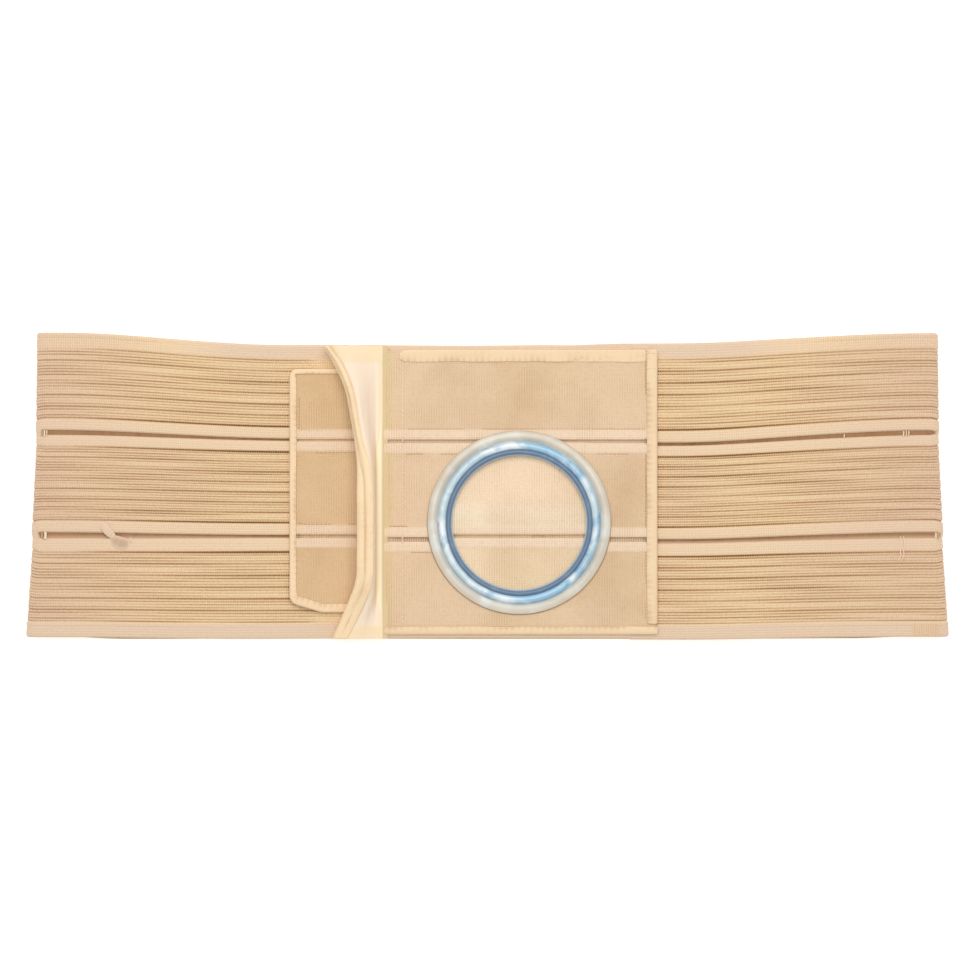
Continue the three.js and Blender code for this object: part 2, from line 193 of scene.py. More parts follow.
def tone(red, green, blue):
    """A display colour from 0 to 255 as the linear colour that a shader takes."""
    return tuple((part / 255) ** 2.2 for part in (red, green, blue)) + (1.0,)


# Second colours, which the materials blend in
# Painted shade in the elastic's outer grooves beside the slits
DEEP_GROOVE_SHADE = tone(98, 70, 36)
SLIT_SHADE = tone(96, 66, 38)
# Painted light on the foot of the elastic's lower slit
SLIT_FOOT_LIGHT = tone(206, 172, 140)
ROLL_LIGHT = tone(255, 236, 208)
KNIT_TINT = tone(220, 196, 148)
# Painted highlight on the flap's welt
WELT_HIGHLIGHT = tone(255, 239, 202)
WELT_SHADE = tone(226, 192, 144)
# Painted reflections and highlights on the ring's bead and its nicks
BEAD_REFLECTION_BLUE = tone(158, 200, 226)
BEAD_HIGHLIGHT = tone(240, 247, 249)
BEAD_REFLECTION_STREAK = tone(134, 180, 210)
NICK_REFLECTION_BLUE = tone(132, 186, 216)
FROST_INNER = tone(212, 212, 202)
FROST_OUTER = tone(238, 229, 210)
FROST_GLINT = tone(240, 240, 232)
# Painted shade in the groove round the ring's bead
GROOVE_SHADE = tone(126, 148, 158)
# Painted shadow along the flange's outer edge
FLANGE_EDGE_SHADOW = tone(160, 128, 92)
FLOOR_CLOUD = tone(238, 238, 238)


def length_setting(name, description, default):
    limits = {"min": 0.0, "unit": "LENGTH", "precision": 5}
    return FloatProperty(name=name, description=description, default=default, **limits)


def colour_setting(name, description, default):
    return FloatVectorProperty(
        name=name, description=description, default=default, size=4, min=0.0, max=1.0, subtype="COLOR"
    )


class BeltSizes(bpy.types.PropertyGroup):
    """Sizes that change the cloth's relief and the stitches."""

    elastic_thickness: length_setting("Elastic thickness", "Wall of the elastic bands", 0.0018)
    fold_radius: length_setting("Fold radius", "Outer radius of the loop's two folds", 0.0055)
    groove_depth: length_setting("Groove depth", "Depth of the coarse grooves in the elastic", 0.0006)
    cord_depth: length_setting("Cord depth", "Depth between the fine cords of the elastic", 0.00045)
    cords: IntProperty(
        name="Cords per rib", description="Fine cords between two grooves", default=4, min=2, max=8
    )
    selvage_width: length_setting("Selvage width", "Smooth strip beside each slit of the knit", 0.0050)
    selvage_lift: length_setting("Selvage lift", "How far that strip stands up", 0.00028)
    tape_thickness: length_setting("Tape thickness", "Wall of the binding tapes", 0.0007)
    tape_pucker: length_setting("Tape pucker", "How far the stitches draw the tapes in", 0.00042)
    stitch_pitch: length_setting("Stitch pitch", "Distance between two stitches", 0.0032)
    stitch_thickness: length_setting("Stitch thickness", "Thickness of the sewing thread", 0.0006)


class BeltColours(bpy.types.PropertyGroup):
    """Colours of the belt's materials."""

    elastic: colour_setting("Elastic", "Ribbed elastic near the closure", tone(250, 219, 174))
    elastic_fold: colour_setting("Elastic at the folds", "Ribbed elastic near the folds", tone(236, 203, 172))
    # Painted shade in grooves, cords, sewn lines and tape puckers, and the darker grain and blotches of every
    # cloth
    shade_and_grain: colour_setting("Furrow", "Bottom of the grooves", tone(164, 109, 46))
    knit: colour_setting("Knit", "Facing of the tab", tone(224, 189, 147))
    knit_panel: colour_setting("Panel knit", "Facing of the panel", tone(230, 199, 165))
    knit_pale: colour_setting("Pale knit", "Facing of the tab where the ring shows it", tone(247, 218, 185))
    selvage: colour_setting("Selvage", "Strips beside the slits of the knit", tone(245, 219, 191))
    hem: colour_setting("Hem", "Smooth strips and hems of the elastic", tone(229, 201, 172))
    tape: colour_setting("Tape", "Binding tape of the flap", tone(249, 221, 179))
    panel_tape: colour_setting("Panel tape", "Binding tape of the panel", tone(240, 211, 172))
    tab_tape: colour_setting("Tab tape", "Binding tape of the tab", tone(244, 214, 175))
    # Painted shade of the standing flap on the panel's left strip and at the flap's foot
    shaded_tape: colour_setting("Shaded tape", "Foot of the flap on the panel", tone(222, 196, 150))
    lining: colour_setting("Lining", "Face of the closure flap", tone(247, 226, 201))
    flange: colour_setting("Flange", "Clear flange of the ring", tone(196, 217, 224))
    rim: colour_setting("Rim", "Rim of the ring", tone(98, 122, 148))
    thread: colour_setting("Thread", "Sewing thread", tone(244, 219, 189))
    # The elastic's cross yarns are real, but their dark colour is painted shade for the inside of the slits
    vent_shade: colour_setting("Vent yarns", "Cross yarns in the slits of the elastic", tone(166, 125, 91))
    facing_vent: colour_setting("Facing yarns", "Cross yarns in the slits of the knit", tone(216, 186, 150))
    shade_thread: colour_setting("Thread in shade", "Thread at the selvages", tone(196, 160, 124))
    floor: colour_setting("Floor", "Surface under the belt", tone(252, 252, 252))


class BeltStage(bpy.types.PropertyGroup):
    """Light and camera."""

    sky: FloatProperty(name="Sky", description="Strength of the even light", default=0.60, min=0.0)
    key: FloatProperty(
        name="Key light", description="Power of the key light", default=13.2, min=0.0, unit="POWER"
    )
    field: length_setting("Field", "Width that the camera sees", 0.507)
    lens: FloatProperty(name="Lens", description="Focal length in millimetres", default=150.0, min=20.0)


class BeltSettings(bpy.types.PropertyGroup):
    """All settings of the belt."""

    sizes: PointerProperty(type=BeltSizes)
    colours: PointerProperty(type=BeltColours)
    stage: PointerProperty(type=BeltStage)


# Shape helpers


def mix(first, last, share):
    return first + (last - first) * share


def clamp(value):
    return min(1.0, max(0.0, value))


def ease(value, low, high):
    """0 at low, 1 at high, and eased between them."""
    share = clamp((value - low) / (high - low))
    return share * share * (3.0 - 2.0 * share)


def bell(off, width):
    """1 in the middle of a bell curve, and about a third at its width."""
    return math.exp(-((off / width) ** 2))


def ripple(x, y, z=0.0):
    """Smooth noise from -1 to 1 that is the same on every run."""
    return noise.noise(Vector((x, y, z)))


def neighbours(items, k):
    """The items before and after one of a list, or that one itself at an end."""
    return items[max(k - 1, 0)], items[min(k + 1, len(items) - 1)]


def leftward(ahead):
    """The level direction to the left of a way."""
    return Vector((-ahead.y, ahead.x, 0.0))


def new_mesh():
    """An empty bmesh with a cloth map in metres and one mark on each vertex for the materials."""
    bm = bmesh.new()
    bm.loops.layers.uv.new("cloth")
    bm.verts.layers.float.new("mark")
    return bm


def add_grid(bm, across, along, sample):
    """Adds a grid. sample(i, j) gives each vertex its place, its point on the cloth map and its mark."""
    chart = bm.loops.layers.uv["cloth"]
    mark = bm.verts.layers.float["mark"]
    verts = bmesh.ops.create_grid(bm, x_segments=across, y_segments=along, size=0.5)["verts"]
    charted = {}
    for vert in verts:
        column = round((vert.co.x + 0.5) * across)
        row = round((vert.co.y + 0.5) * along)
        vert.co, charted[vert], vert[mark] = sample(column, row)
    for face in {face for vert in verts for face in vert.link_faces}:
        for loop in face.loops:
            loop[chart].uv = charted[loop.vert]
    return verts


def add_tube(bm, across, along, sample):
    """Adds a grid that closes on itself across, with both ends filled."""
    verts = add_grid(bm, across, along, lambda i, j: sample(i % across, j))
    bmesh.ops.remove_doubles(bm, verts=verts, dist=1e-7)
    kept = [vert for vert in verts if vert.is_valid]
    open_edges = {edge for vert in kept for edge in vert.link_edges if edge.is_boundary}
    bmesh.ops.holes_fill(bm, edges=list(open_edges), sides=0)


def finish_piece(name, bm, material, nodes=(), crease=60):
    """Turns a bmesh into a piece that rides on the belt and stands in for the CAD nodes that it covers."""
    bmesh.ops.recalc_face_normals(bm, faces=bm.faces)
    mesh = bpy.data.meshes.new(name)
    bm.to_mesh(mesh)
    bm.free()
    mesh.shade_smooth()
    mesh.set_sharp_from_angle(angle=math.radians(crease))
    mesh.materials.append(material)
    piece = bpy.data.objects.new(name, mesh)
    bpy.context.collection.objects.link(piece)
    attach(piece, "root")
    if nodes:
        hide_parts(*nodes)
    return piece


def tube_piece(name, across, along, sample, material, nodes=(), crease=60):
    """A piece that is one tube."""
    bm = new_mesh()
    add_tube(bm, across, along, sample)
    return finish_piece(name, bm, material, nodes, crease)


def rounded(piece):
    """Smooths a coarse piece by one subdivision."""
    smoother = piece.modifiers.new("smoother", "SUBSURF")
    smoother.levels = 1
    smoother.render_levels = 1
    return piece


# Materials


class Signal:
    """A value that varies over a surface. Arithmetic on it adds Math nodes to its material."""

    def __init__(self, paint, socket):
        self.paint = paint
        self.socket = socket

    def __add__(self, other):
        return self.paint.maths("ADD", self, other)

    def __radd__(self, other):
        return self.paint.maths("ADD", other, self)

    def __sub__(self, other):
        return self.paint.maths("SUBTRACT", self, other)

    def __rsub__(self, other):
        return self.paint.maths("SUBTRACT", other, self)

    def __mul__(self, other):
        return self.paint.maths("MULTIPLY", self, other)

    def __rmul__(self, other):
        return self.paint.maths("MULTIPLY", other, self)

    def __truediv__(self, other):
        return self.paint.maths("DIVIDE", self, other)

    def __rtruediv__(self, other):
        return self.paint.maths("DIVIDE", other, self)

    def __abs__(self):
        return self.paint.maths("ABSOLUTE", self)


class Paint:
    """A material's node graph."""

    def __init__(self, name):
        self.material = bpy.data.materials.new(name)
        self.material.use_nodes = True
        self.tree = self.material.node_tree
        self.tree.nodes.clear()

    def node(self, kind, settings=None, sockets=None):
        """A node of any kind: its settings are set first, then each socket takes a value or a link."""
        made = self.tree.nodes.new(kind)
        for name, value in (settings or {}).items():
            setattr(made, name, value)
        for key, value in (sockets or {}).items():
            if isinstance(value, Signal):
                self.tree.links.new(value.socket, made.inputs[key])
            else:
                made.inputs[key].default_value = value
        return made

    def signal(self, node, output=0):
        return Signal(self, node.outputs[output])

    def maths(self, operation, *values):
        return self.signal(self.node("ShaderNodeMath", {"operation": operation}, dict(enumerate(values))))

    def wave(self, signal, pitch):
        """A sine wave of 1 to -1 along a signal in metres."""
        return self.maths("SINE", signal * (2 * math.pi / pitch))

    def step(self, signal, low, high):
        """0 where the signal is under low, 1 over high, and eased between them."""
        sockets = {"Value": signal, "From Min": low, "From Max": high}
        return self.signal(self.node("ShaderNodeMapRange", {"interpolation_type": "SMOOTHSTEP"}, sockets))

    def speckle(self, vector, scale, detail=2.0):
        """Noise of about 0.5 with blots of 1 / scale metres."""
        sockets = {"Vector": vector, "Scale": scale, "Detail": detail}
        return self.signal(self.node("ShaderNodeTexNoise", None, sockets), "Fac")

    def blend(self, factor, first, second):
        """The first colour where the factor is 0, the second where it is 1."""
        settings = {"data_type": "RGBA", "clamp_factor": True}
        return self.signal(self.node("ShaderNodeMix", settings, {0: factor, 6: first, 7: second}), 2)

    def place(self):
        """The point on the piece."""
        return self.signal(self.node("ShaderNodeTexCoord"), "Object")

    def cloth(self):
        """The point on the piece's cloth map, whose X runs along the cloth and Y across it."""
        return self.signal(self.node("ShaderNodeUVMap", {"uv_map": "cloth"}))

    def part(self, point, axis):
        """One coordinate of a point."""
        return self.signal(self.node("ShaderNodeSeparateXYZ", None, {0: point}), axis)

    def mark(self):
        return self.signal(self.node("ShaderNodeAttribute", {"attribute_name": "mark"}), "Fac")

    def bump(self, height):
        """A surface normal from a height in millimetres."""
        sockets = {"Strength": 1.0, "Distance": 0.001, "Height": height}
        return self.signal(self.node("ShaderNodeBump", None, sockets))

    def finish(self, sockets):
        shader = self.node("ShaderNodeBsdfPrincipled", None, sockets)
        self.node("ShaderNodeOutputMaterial", None, {"Surface": self.signal(shader)})
        return self.material

    def fabric(self, colour, grain, height, rough=(0.85, 0.1), sheen=0.15):
        """A cloth or thread. Its roughness is a value, and a share of the grain more."""
        return self.finish({
            "Base Color": colour,
            "Roughness": rough[0] + rough[1] * grain,
            "Normal": self.bump(height),
            "Sheen Weight": sheen,
        })


def elastic_material(colours):
    """Cords and grooves come with the mesh, which marks them above 0 for painted shade in their hollows,
    those beside the slits above 1 for deeper painted shade, and smooth strips below 0."""
    paint = Paint("ribbed_elastic")
    point = paint.cloth()
    spot = paint.place()
    mark = paint.mark()
    weave = paint.wave(paint.part(point, "X"), 0.0012)
    grain = paint.speckle(point, 900.0)
    patches = paint.speckle(spot, 16.0)
    towards_fold = paint.step(abs(paint.part(spot, "X")), 0.13, 0.235) * 0.8 + (patches - 0.5) * 1.1
    yarn = paint.blend(towards_fold, colours.elastic[:], colours.elastic_fold[:])
    smooth = paint.maths("MAXIMUM", mark * -0.6, 0.0)
    sunk_shade = paint.maths("MAXIMUM", mark, 0.0)
    strip = paint.blend(smooth, yarn, colours.hem[:])
    ribs = paint.wave(paint.part(point, "Y"), 0.0013) * paint.step(mark, -0.05, -0.25)
    pebbles = weave * (0.14 - 0.14 * smooth)
    shade = sunk_shade * (0.85 + 0.5 * weave) + (grain - 0.4) * 0.4 - pebbles + 0.07 * ribs
    shaded_strip = paint.blend(shade, strip, colours.shade_and_grain[:])
    deep_shaded = paint.blend((mark - 1.0) * (1.1 + 0.5 * weave), shaded_strip, DEEP_GROOVE_SHADE)
    return paint.fabric(deep_shaded, grain, pebbles + 0.14 * grain - 0.06 * ribs)


def vent_material(name, colour, colours, ladder=0.0, depth=0.0):
    """Loose cross yarns, as smooth as a selvage where the mesh is marked. In the lower slit they stand apart
    like the rungs of a ladder by the share that is given, with painted shade in the gaps. A depth is how much
    painted shade darkens the elastic's slits beside the closure, and the foot of the lower one has painted
    light."""
    paint = Paint(name)
    point = paint.cloth()
    spot = paint.place()
    y = paint.part(spot, "Y")
    rungs = paint.wave(paint.part(point, "X"), 0.0012)
    thick = paint.speckle(point, 260.0)
    patches = paint.speckle(point, 45.0)
    uneven = (thick - 0.5) * 0.7 + (patches - 0.45) * 0.8 + 0.25 * rungs * patches
    apart = paint.step(y, -0.02, -0.025) * ladder
    shade = uneven + apart * (0.5 + 0.5 * rungs) * (patches + 0.3)
    closure_shade = paint.step(abs(paint.part(spot, "X")), 0.20, 0.09) * depth
    yarns = paint.blend(shade + closure_shade, colour, SLIT_SHADE)
    foot = paint.step(paint.part(point, "Y"), 0.0007, 0.0016) * paint.step(y, 0.0, -0.01)
    lit = paint.blend(foot * 0.75, yarns, SLIT_FOOT_LIGHT)
    bridged = paint.blend(paint.mark(), lit, colours.hem[:])
    return paint.fabric(bridged, thick, 0.1 * rungs + 0.1 * thick, sheen=0.0)


def knit_material(name, colours, left, right, change, width, roll=None):
    """Fine upright wales, paler strips where the mesh is marked, one colour left of an x and one right of it.
    A roll is a strip right of that x, from its top to its foot, that catches the light."""
    paint = Paint(name)
    point = paint.place()
    x = paint.part(point, "X")
    y = paint.part(point, "Y")
    wales = paint.wave(x, 0.0013)
    courses = paint.wave(y, 0.0011)
    grain = paint.speckle(point, 700.0)
    patches = paint.speckle(point, 22.0, 3.0)
    faded = paint.step(paint.speckle(point, 70.0), 0.35, 0.65)
    hues = paint.speckle(point, 14.0)
    rightward = paint.step(x, change - width, change + width)
    plain = paint.blend(rightward, left, right)
    if roll:
        top, foot = roll
        lit = paint.step(y, top, mix(top, foot, 0.5)) - paint.step(y, mix(top, foot, 0.8), foot)
        plain = paint.blend(lit * rightward * 0.75, plain, ROLL_LIGHT)
    tinted = paint.blend((hues - 0.48) * 1.7, plain, KNIT_TINT)
    blotched = paint.blend((patches - 0.47) * 0.8, tinted, colours.shade_and_grain[:])
    strip = paint.blend(paint.mark() * 0.7, blotched, colours.selvage[:])
    shade = (grain - 0.5) * 0.42 - wales * 0.22 * faded - courses * 0.07
    whole = paint.blend(shade + 0.02, strip, colours.shade_and_grain[:])
    return paint.fabric(whole, grain, 0.07 * wales + 0.04 * courses + 0.12 * grain)


def tape_material(name, colour, colours):
    """Fine ribs across the tape, with painted shade where the mesh is marked as drawn in by a stitch or a
    crease.
    """
    paint = Paint(name)
    point = paint.cloth()
    along = paint.part(point, "X")
    ribs = paint.wave(along, 0.0010)
    twill = paint.wave(along + paint.part(point, "Y"), 0.0016)
    grain = paint.speckle(point, 600.0)
    patches = paint.speckle(point, 40.0)
    shade = paint.mark() * 0.4 + (grain - 0.5) * 0.2 + (patches - 0.5) * 0.35 + 0.02 * ribs
    whole = paint.blend(shade, colour, colours.shade_and_grain[:])
    return paint.fabric(whole, grain, 0.03 * ribs + 0.03 * twill + 0.10 * grain, (0.82, 0.12))


def lining_material(colours):
    """Smooth cloth with a faint weave, creamier where the mesh marks a hem or welt, with a painted highlight
    on the welt, and painted shade behind the welt and at its foot."""
    paint = Paint("flap_lining")
    point = paint.cloth()
    weave = paint.wave(paint.part(point, "X"), 0.0011) * paint.wave(paint.part(point, "Y"), 0.0011)
    grain = paint.speckle(point, 500.0)
    patches = paint.speckle(point, 30.0)
    mark = paint.mark()
    face = paint.blend(mark, colours.lining[:], colours.tape[:])
    welt = paint.blend(mark - 1.0, face, WELT_HIGHLIGHT)
    behind = paint.blend(mark * -0.8, welt, WELT_SHADE)
    foot = paint.step(paint.part(paint.place(), "X"), -0.0552, -0.0538)
    footed = paint.blend(foot, behind, colours.shaded_tape[:])
    shade = (grain - 0.5) * 0.12 + (patches - 0.5) * 0.16 + 0.02 * weave
    whole = paint.blend(shade, footed, colours.shade_and_grain[:])
    return paint.fabric(whole, grain, 0.02 * weave + 0.06 * grain, (0.78, 0.12))


def ring_radius(paint, point):
    """The distance from the ring's upright axis."""
    centred = paint.node("ShaderNodeMapping", None, {"Vector": point, "Location": -RING_CENTRE})
    sockets = {0: paint.signal(centred), 1: (1.0, 1.0, 0.0)}
    flat = paint.node("ShaderNodeVectorMath", {"operation": "MULTIPLY"}, sockets)
    length = paint.node("ShaderNodeVectorMath", {"operation": "LENGTH"}, {0: paint.signal(flat)})
    return paint.signal(length, "Value")


def flange_material(colours):
    """Clear plastic, with painted reflections on the bead (blue sectors, white highlights and streaks, and
    blue patches on its nicks), painted shade in its groove, a frosted zone with painted glints outside it,
    and a painted shadow along its edge.
    """
    paint = Paint("ring_flange_plastic")
    point = paint.place()
    radius = ring_radius(paint, point)
    across = (paint.part(point, "X") - RING_CENTRE.x) / radius
    upward = (paint.part(point, "Y") - RING_CENTRE.y) / radius
    streaks = paint.speckle(point, 110.0, 3.0)
    clouds = paint.speckle(point, 60.0)
    outer = paint.step(radius, *BEAD_END)
    groove = paint.step(radius, *GROOVE_START) - paint.step(radius, *GROOVE_END)
    # Painted reflection: the bead is deeper blue at its upper right and bottom
    upper_right = paint.step(across * 0.52 + upward * 0.85, 0.80, 0.97)
    bottom = paint.step(across * 0.17 - upward * 0.98, 0.78, 0.97)
    deep = paint.blend(upper_right + bottom, colours.flange[:], BEAD_REFLECTION_BLUE)
    highlighted = paint.blend((clouds - 0.47) * 7.0 - bottom * 0.6, deep, BEAD_HIGHLIGHT)
    bead = paint.blend((streaks - 0.52) * 5.0, highlighted, BEAD_REFLECTION_STREAK)
    nicked = paint.blend(paint.mark(), bead, NICK_REFLECTION_BLUE)
    frosted = paint.blend(paint.step(radius, *FROST), FROST_INNER, FROST_OUTER)
    glints = paint.blend((streaks - 0.53) * 6.0, frosted, FROST_GLINT)
    zones = paint.blend(outer, nicked, glints)
    groove_shaded = paint.blend(groove * (streaks - 0.1), zones, GROOVE_SHADE)
    # Painted shadow along the edge, strongest towards the bottom
    edge = paint.step(radius, *EDGE_SHADOW) * (0.3 + 0.6 * paint.step(upward, 0.5, -0.4))
    return paint.finish({
        "Base Color": paint.blend(edge, groove_shaded, FLANGE_EDGE_SHADOW),
        "Roughness": 0.12 + 0.2 * streaks,
        "Alpha": 0.94 - outer * (0.62 - 0.6 * clouds),
        "Coat Weight": 0.5,
        "Coat Roughness": 0.08,
    })


def rim_material(colours):
    """Slate blue plastic with faint streaks, paler on its inner lip."""
    paint = Paint("ring_rim_plastic")
    point = paint.place()
    streaks = paint.speckle(point, 180.0, 3.0)
    lip = paint.step(ring_radius(paint, point), *RIM_LIP)
    body = paint.blend((streaks - 0.5) * 0.5, colours.rim[:], colours.flange[:])
    return paint.finish({
        "Base Color": paint.blend(lip * 0.8, body, colours.flange[:]),
        "Roughness": 0.3 + 0.25 * streaks,
        "Coat Weight": 0.25,
        "Coat Roughness": 0.15,
    })


def thread_material(name, colour, colours):
    paint = Paint(name)
    point = paint.place()
    twist = paint.wave(paint.part(point, "X") + paint.part(point, "Y"), 0.0009)
    grain = paint.speckle(point, 800.0)
    whole = paint.blend((grain - 0.5) * 0.3 + 0.05 * twist, colour, colours.shade_and_grain[:])
    return paint.fabric(whole, grain, 0.04 * twist, (0.8, 0.1), sheen=0.0)


def floor_material(colours):
    paint = Paint("stage_floor")
    cloud = paint.speckle(paint.place(), 3.0)
    return paint.finish({
        "Base Color": paint.blend(cloud * 0.05, colours.floor[:], FLOOR_CLOUD),
        "Roughness": 0.9 + 0.05 * cloud,
        "Specular IOR Level": 0.1,
        "Emission Color": (1.0, 1.0, 1.0, 1.0),
        "Emission Strength": 0.42,
    })


# Elastic bands


class BandRow:
    """One line along a band: its share of the width, the depth of the rounded edge there, how far it lies
    down a cord's side and a groove's side, with their numbers, its plain strip, and the sewn line's depth."""

    def __init__(self, band, sizes, share):
        count, first, last = band["grooves"]
        width = band["left"][0] - band["left"][1]
        pitch = (last - first) / (count - 1)
        phase = (share - first) / pitch
        into = max(0.0, 1 - min(share, 1 - share) * width / sizes.elastic_thickness)
        self.share = share
        self.rounding = sizes.elastic_thickness / 2 * (1 - math.sqrt(1 - into * into))
        self.cord = 0.0
        self.cord_number = round(phase * sizes.cords)
        self.groove_number = min(count - 1, max(0, round(phase)))
        self.groove = bell((phase - self.groove_number) * pitch * width, GROOVE_HALF_WIDTH)
        self.beside_slit = band["plain"][0 if self.groove_number < count / 2 else 1] == SELVAGE
        self.outer_groove = self.groove_number in (0, count - 1)
        self.plain = 0.0
        if share < first:
            self.plain = band["plain"][0]
        elif share > last:
            self.plain = band["plain"][1]
        else:
            self.cord = 1 - abs(math.sin(math.pi * phase * sizes.cords))
        line, depth = band["sewn"]
        self.sewn = depth * bell((share - line) * width, SEWN_HALF_WIDTH)

    def inside(self, sizes):
        """The same line on the band's inner face."""
        self.rounding = sizes.elastic_thickness
        self.cord = self.groove = self.plain = self.sewn = 0.0
        return self


def band_rows(band, sizes):
    """The band's section from its top edge across its face and back inside."""
    count, first, last = band["grooves"]
    edge = sizes.elastic_thickness / (band["left"][0] - band["left"][1])
    near = (last - first) / (count - 1) / sizes.cords / 2
    ribbed = (count - 1) * sizes.cords * 4
    shares = [0.0, 0.15 * edge, 0.5 * edge]
    shares += [mix(edge, first - near, k / 14) for k in range(14)]
    shares += [mix(first, last, k / ribbed) for k in range(ribbed + 1)]
    shares += [mix(last + near, 1 - edge, k / 14) for k in range(1, 15)]
    shares += [1 - 0.5 * edge, 1 - 0.15 * edge, 1.0]
    face = [BandRow(band, sizes, share) for share in shares]
    return face + [BandRow(band, sizes, 1 - k / 8).inside(sizes) for k in range(9)]


def loop_stations():
    """Each facet line round the loop: its stretch, the share of that stretch, and the way gone so far."""
    stations = []
    gone = 0.0
    for stretch, steps, length in STRETCHES:
        start = 1 if stations else 0
        stations += [(stretch, k / steps, gone + length * k / steps) for k in range(start, steps + 1)]
        gone += length
    return stations


def loop_point(stretch, along, fold_start, depth, radius):
    """The x and z of a point of the loop, at a depth under its outer face."""
    inner = radius - depth
    turn = math.pi * along
    if stretch == "right_fold":
        return fold_start + inner * math.sin(turn), radius + inner * math.cos(turn)
    if stretch == "left_fold":
        return -fold_start - inner * math.sin(turn), radius - inner * math.cos(turn)
    if stretch == "back":
        return mix(fold_start, -fold_start, along), depth
    if stretch == "front_right":
        x = mix(FRONT_RIGHT_END, fold_start, along)
        level = RIGHT_LEVEL
    else:
        x = mix(-fold_start, FRONT_LEFT_END, along)
        level = LEFT_LEVEL
    return x, mix(level, 2 * radius, ease(abs(x), *FRONT_RISE)) - depth


def band_edges(band, stretch, along, x):
    """The band's top and bottom edge at a point of the loop."""
    if stretch == "right_fold":
        start, end, share = band["fold"], band["turn"], ease(along, 0.0, SLIT_CLOSES)
    elif stretch == "left_fold":
        start, end, share = band["fold"], band["turn"], ease(1 - along, 0.0, SLIT_CLOSES)
    elif stretch == "back":
        start, end, share = band["back"], band["turn"], ease(abs(x), *BACK_FAN)
    else:
        side = "right" if stretch == "front_right" else "left"
        start, end, share = band[side], band["fold"], ease(abs(x), *FRONT_FAN)
    return [mix(near, far, share) for near, far in zip(start, end)]


def groove_strength(x, row):
    """Grooves are deep beside the closure and the slits, shallower towards the folds and hems, and uneven."""
    towards_fold = ease(abs(x), 0.10, 0.22)
    uneven = ripple(x * 22, row.groove_number * 3.7, 4.1) + 1.4 * ripple(x * 5, row.groove_number * 7.3, 1.9)
    strength = mix(1.0, 0.6, towards_fold) * (0.8 + 0.5 * uneven)
    if row.outer_groove:
        strength *= 1.3 if row.beside_slit else 0.6
    return max(0.0, strength)


def elastic_band(band, sizes, material):
    rows = band_rows(band, sizes)
    stations = loop_stations()
    radius = sizes.fold_radius
    cord_depth = sizes.cord_depth
    groove_depth = sizes.groove_depth

    def sample(i, j):
        row = rows[i]
        stretch, along, gone = stations[j]
        fold_start = mix(*band["reach"], row.share) - radius
        x = loop_point(stretch, along, fold_start, row.rounding, radius)[0]
        groove = row.groove * groove_strength(x, row)
        cord = row.cord * max(0.3, 0.9 + ripple(x * 20, row.cord_number * 1.3, 8.0))
        sewn = row.sewn * ease(abs(x), *SEWN_FROM)
        if stretch == "front_left":
            fade = mix(1.0, 0.45, ease(x, *TAB_FADE))
            cord *= fade
            groove *= fade
        depth = row.rounding + cord * cord_depth + groove * groove_depth + sewn
        x, z = loop_point(stretch, along, fold_start, depth, radius)
        y = mix(*band_edges(band, stretch, along, x), row.share)
        y += 0.0004 * ripple(x * 14, y * 9, z * 60)
        if stretch.startswith("front"):
            z += 0.00028 * ripple(x * 17, y * 24, 7.3)
        # Painted shade in cords, grooves and sewn lines, deeper beside the slits and less towards the folds
        sunk_shade = min(1.0, 0.72 * cord + 0.5 * groove + max(0.0, sewn) * SEWN_SHADE)
        if row.outer_groove and row.beside_slit:
            sunk_shade += 0.75 * row.groove * mix(1.0, 0.3, ease(abs(x), 0.12, 0.22))
        sunk_shade *= mix(1.0, 0.72, ease(abs(x), 0.15, 0.23))
        ridge = clamp(-sewn * RIDGE_SHADE)
        plain = row.plain
        if plain == HEM and row.share < 0.5:
            plain *= mix(1.0, 0.2, ease(abs(x), 0.11, 0.19))
        return (x, y, z), (gone, row.share * 0.05), sunk_shade - max(ridge, plain * (1 - sunk_shade))

    node = band["node"]
    piece = tube_piece(node + "_web", len(rows), len(stations) - 1, sample, material, [node])
    width = band["left"][0] - band["left"][1]


def vent_yarns(name, above, below, sizes, material):
    """The cross yarns that bridge the slit between two bands, tucked in under their edges. They come up to
    the face where a bar closes the slit beside each fold."""
    stations = loop_stations()
    radius = sizes.fold_radius

    def sample(i, j):
        lower = i in (1, 2)
        under = i in (2, 3)
        stretch, along, gone = stations[j]
        band = below if lower else above
        reach = band["reach"][0 if lower else 1]
        x = loop_point(stretch, along, reach - radius, 0.0, radius)[0]
        bar = reach - (LEFT_BAR if x < 0 else RIGHT_BAR)
        closed = 0.0 if stretch == "back" else ease(abs(x), bar, bar + 0.0010)
        tuck = mix(*YARN_TUCK, closed)
        depth = mix(*YARN_DEPTH, closed) + (YARN_THICKNESS if under else 0.0)
        x, z = loop_point(stretch, along, reach - radius, depth, radius)
        top, bottom = band_edges(band, stretch, along, x)
        y = top - tuck if lower else bottom + tuck
        return (x, y, z), (gone, lower * 0.002), closed

    tube_piece(name, 4, len(stations) - 1, sample, material)


def add_strip(bm, left, right, top, bottom, level, foot):
    """A thin flat strip of cross yarns. The foot is how far its lower edge and its left end are blended to
    the hem
    colour: painted light on the lower edge, and a fade at the left end.
    """
    steps = max(1, round((right - left) / 0.002))

    def sample(i, j):
        lower = i in (1, 2)
        x = mix(left, right, j / steps)
        y = bottom if lower else top
        z = level + (0.0001 if i < 2 else -0.0001)
        # Painted light on the lower edge, and a fade at the left end
        smooth = foot * max(float(lower), 1 - ease(x, left, left + 0.006))
        return (x, y, z), (x, y), smooth

    add_tube(bm, 4, steps, sample)


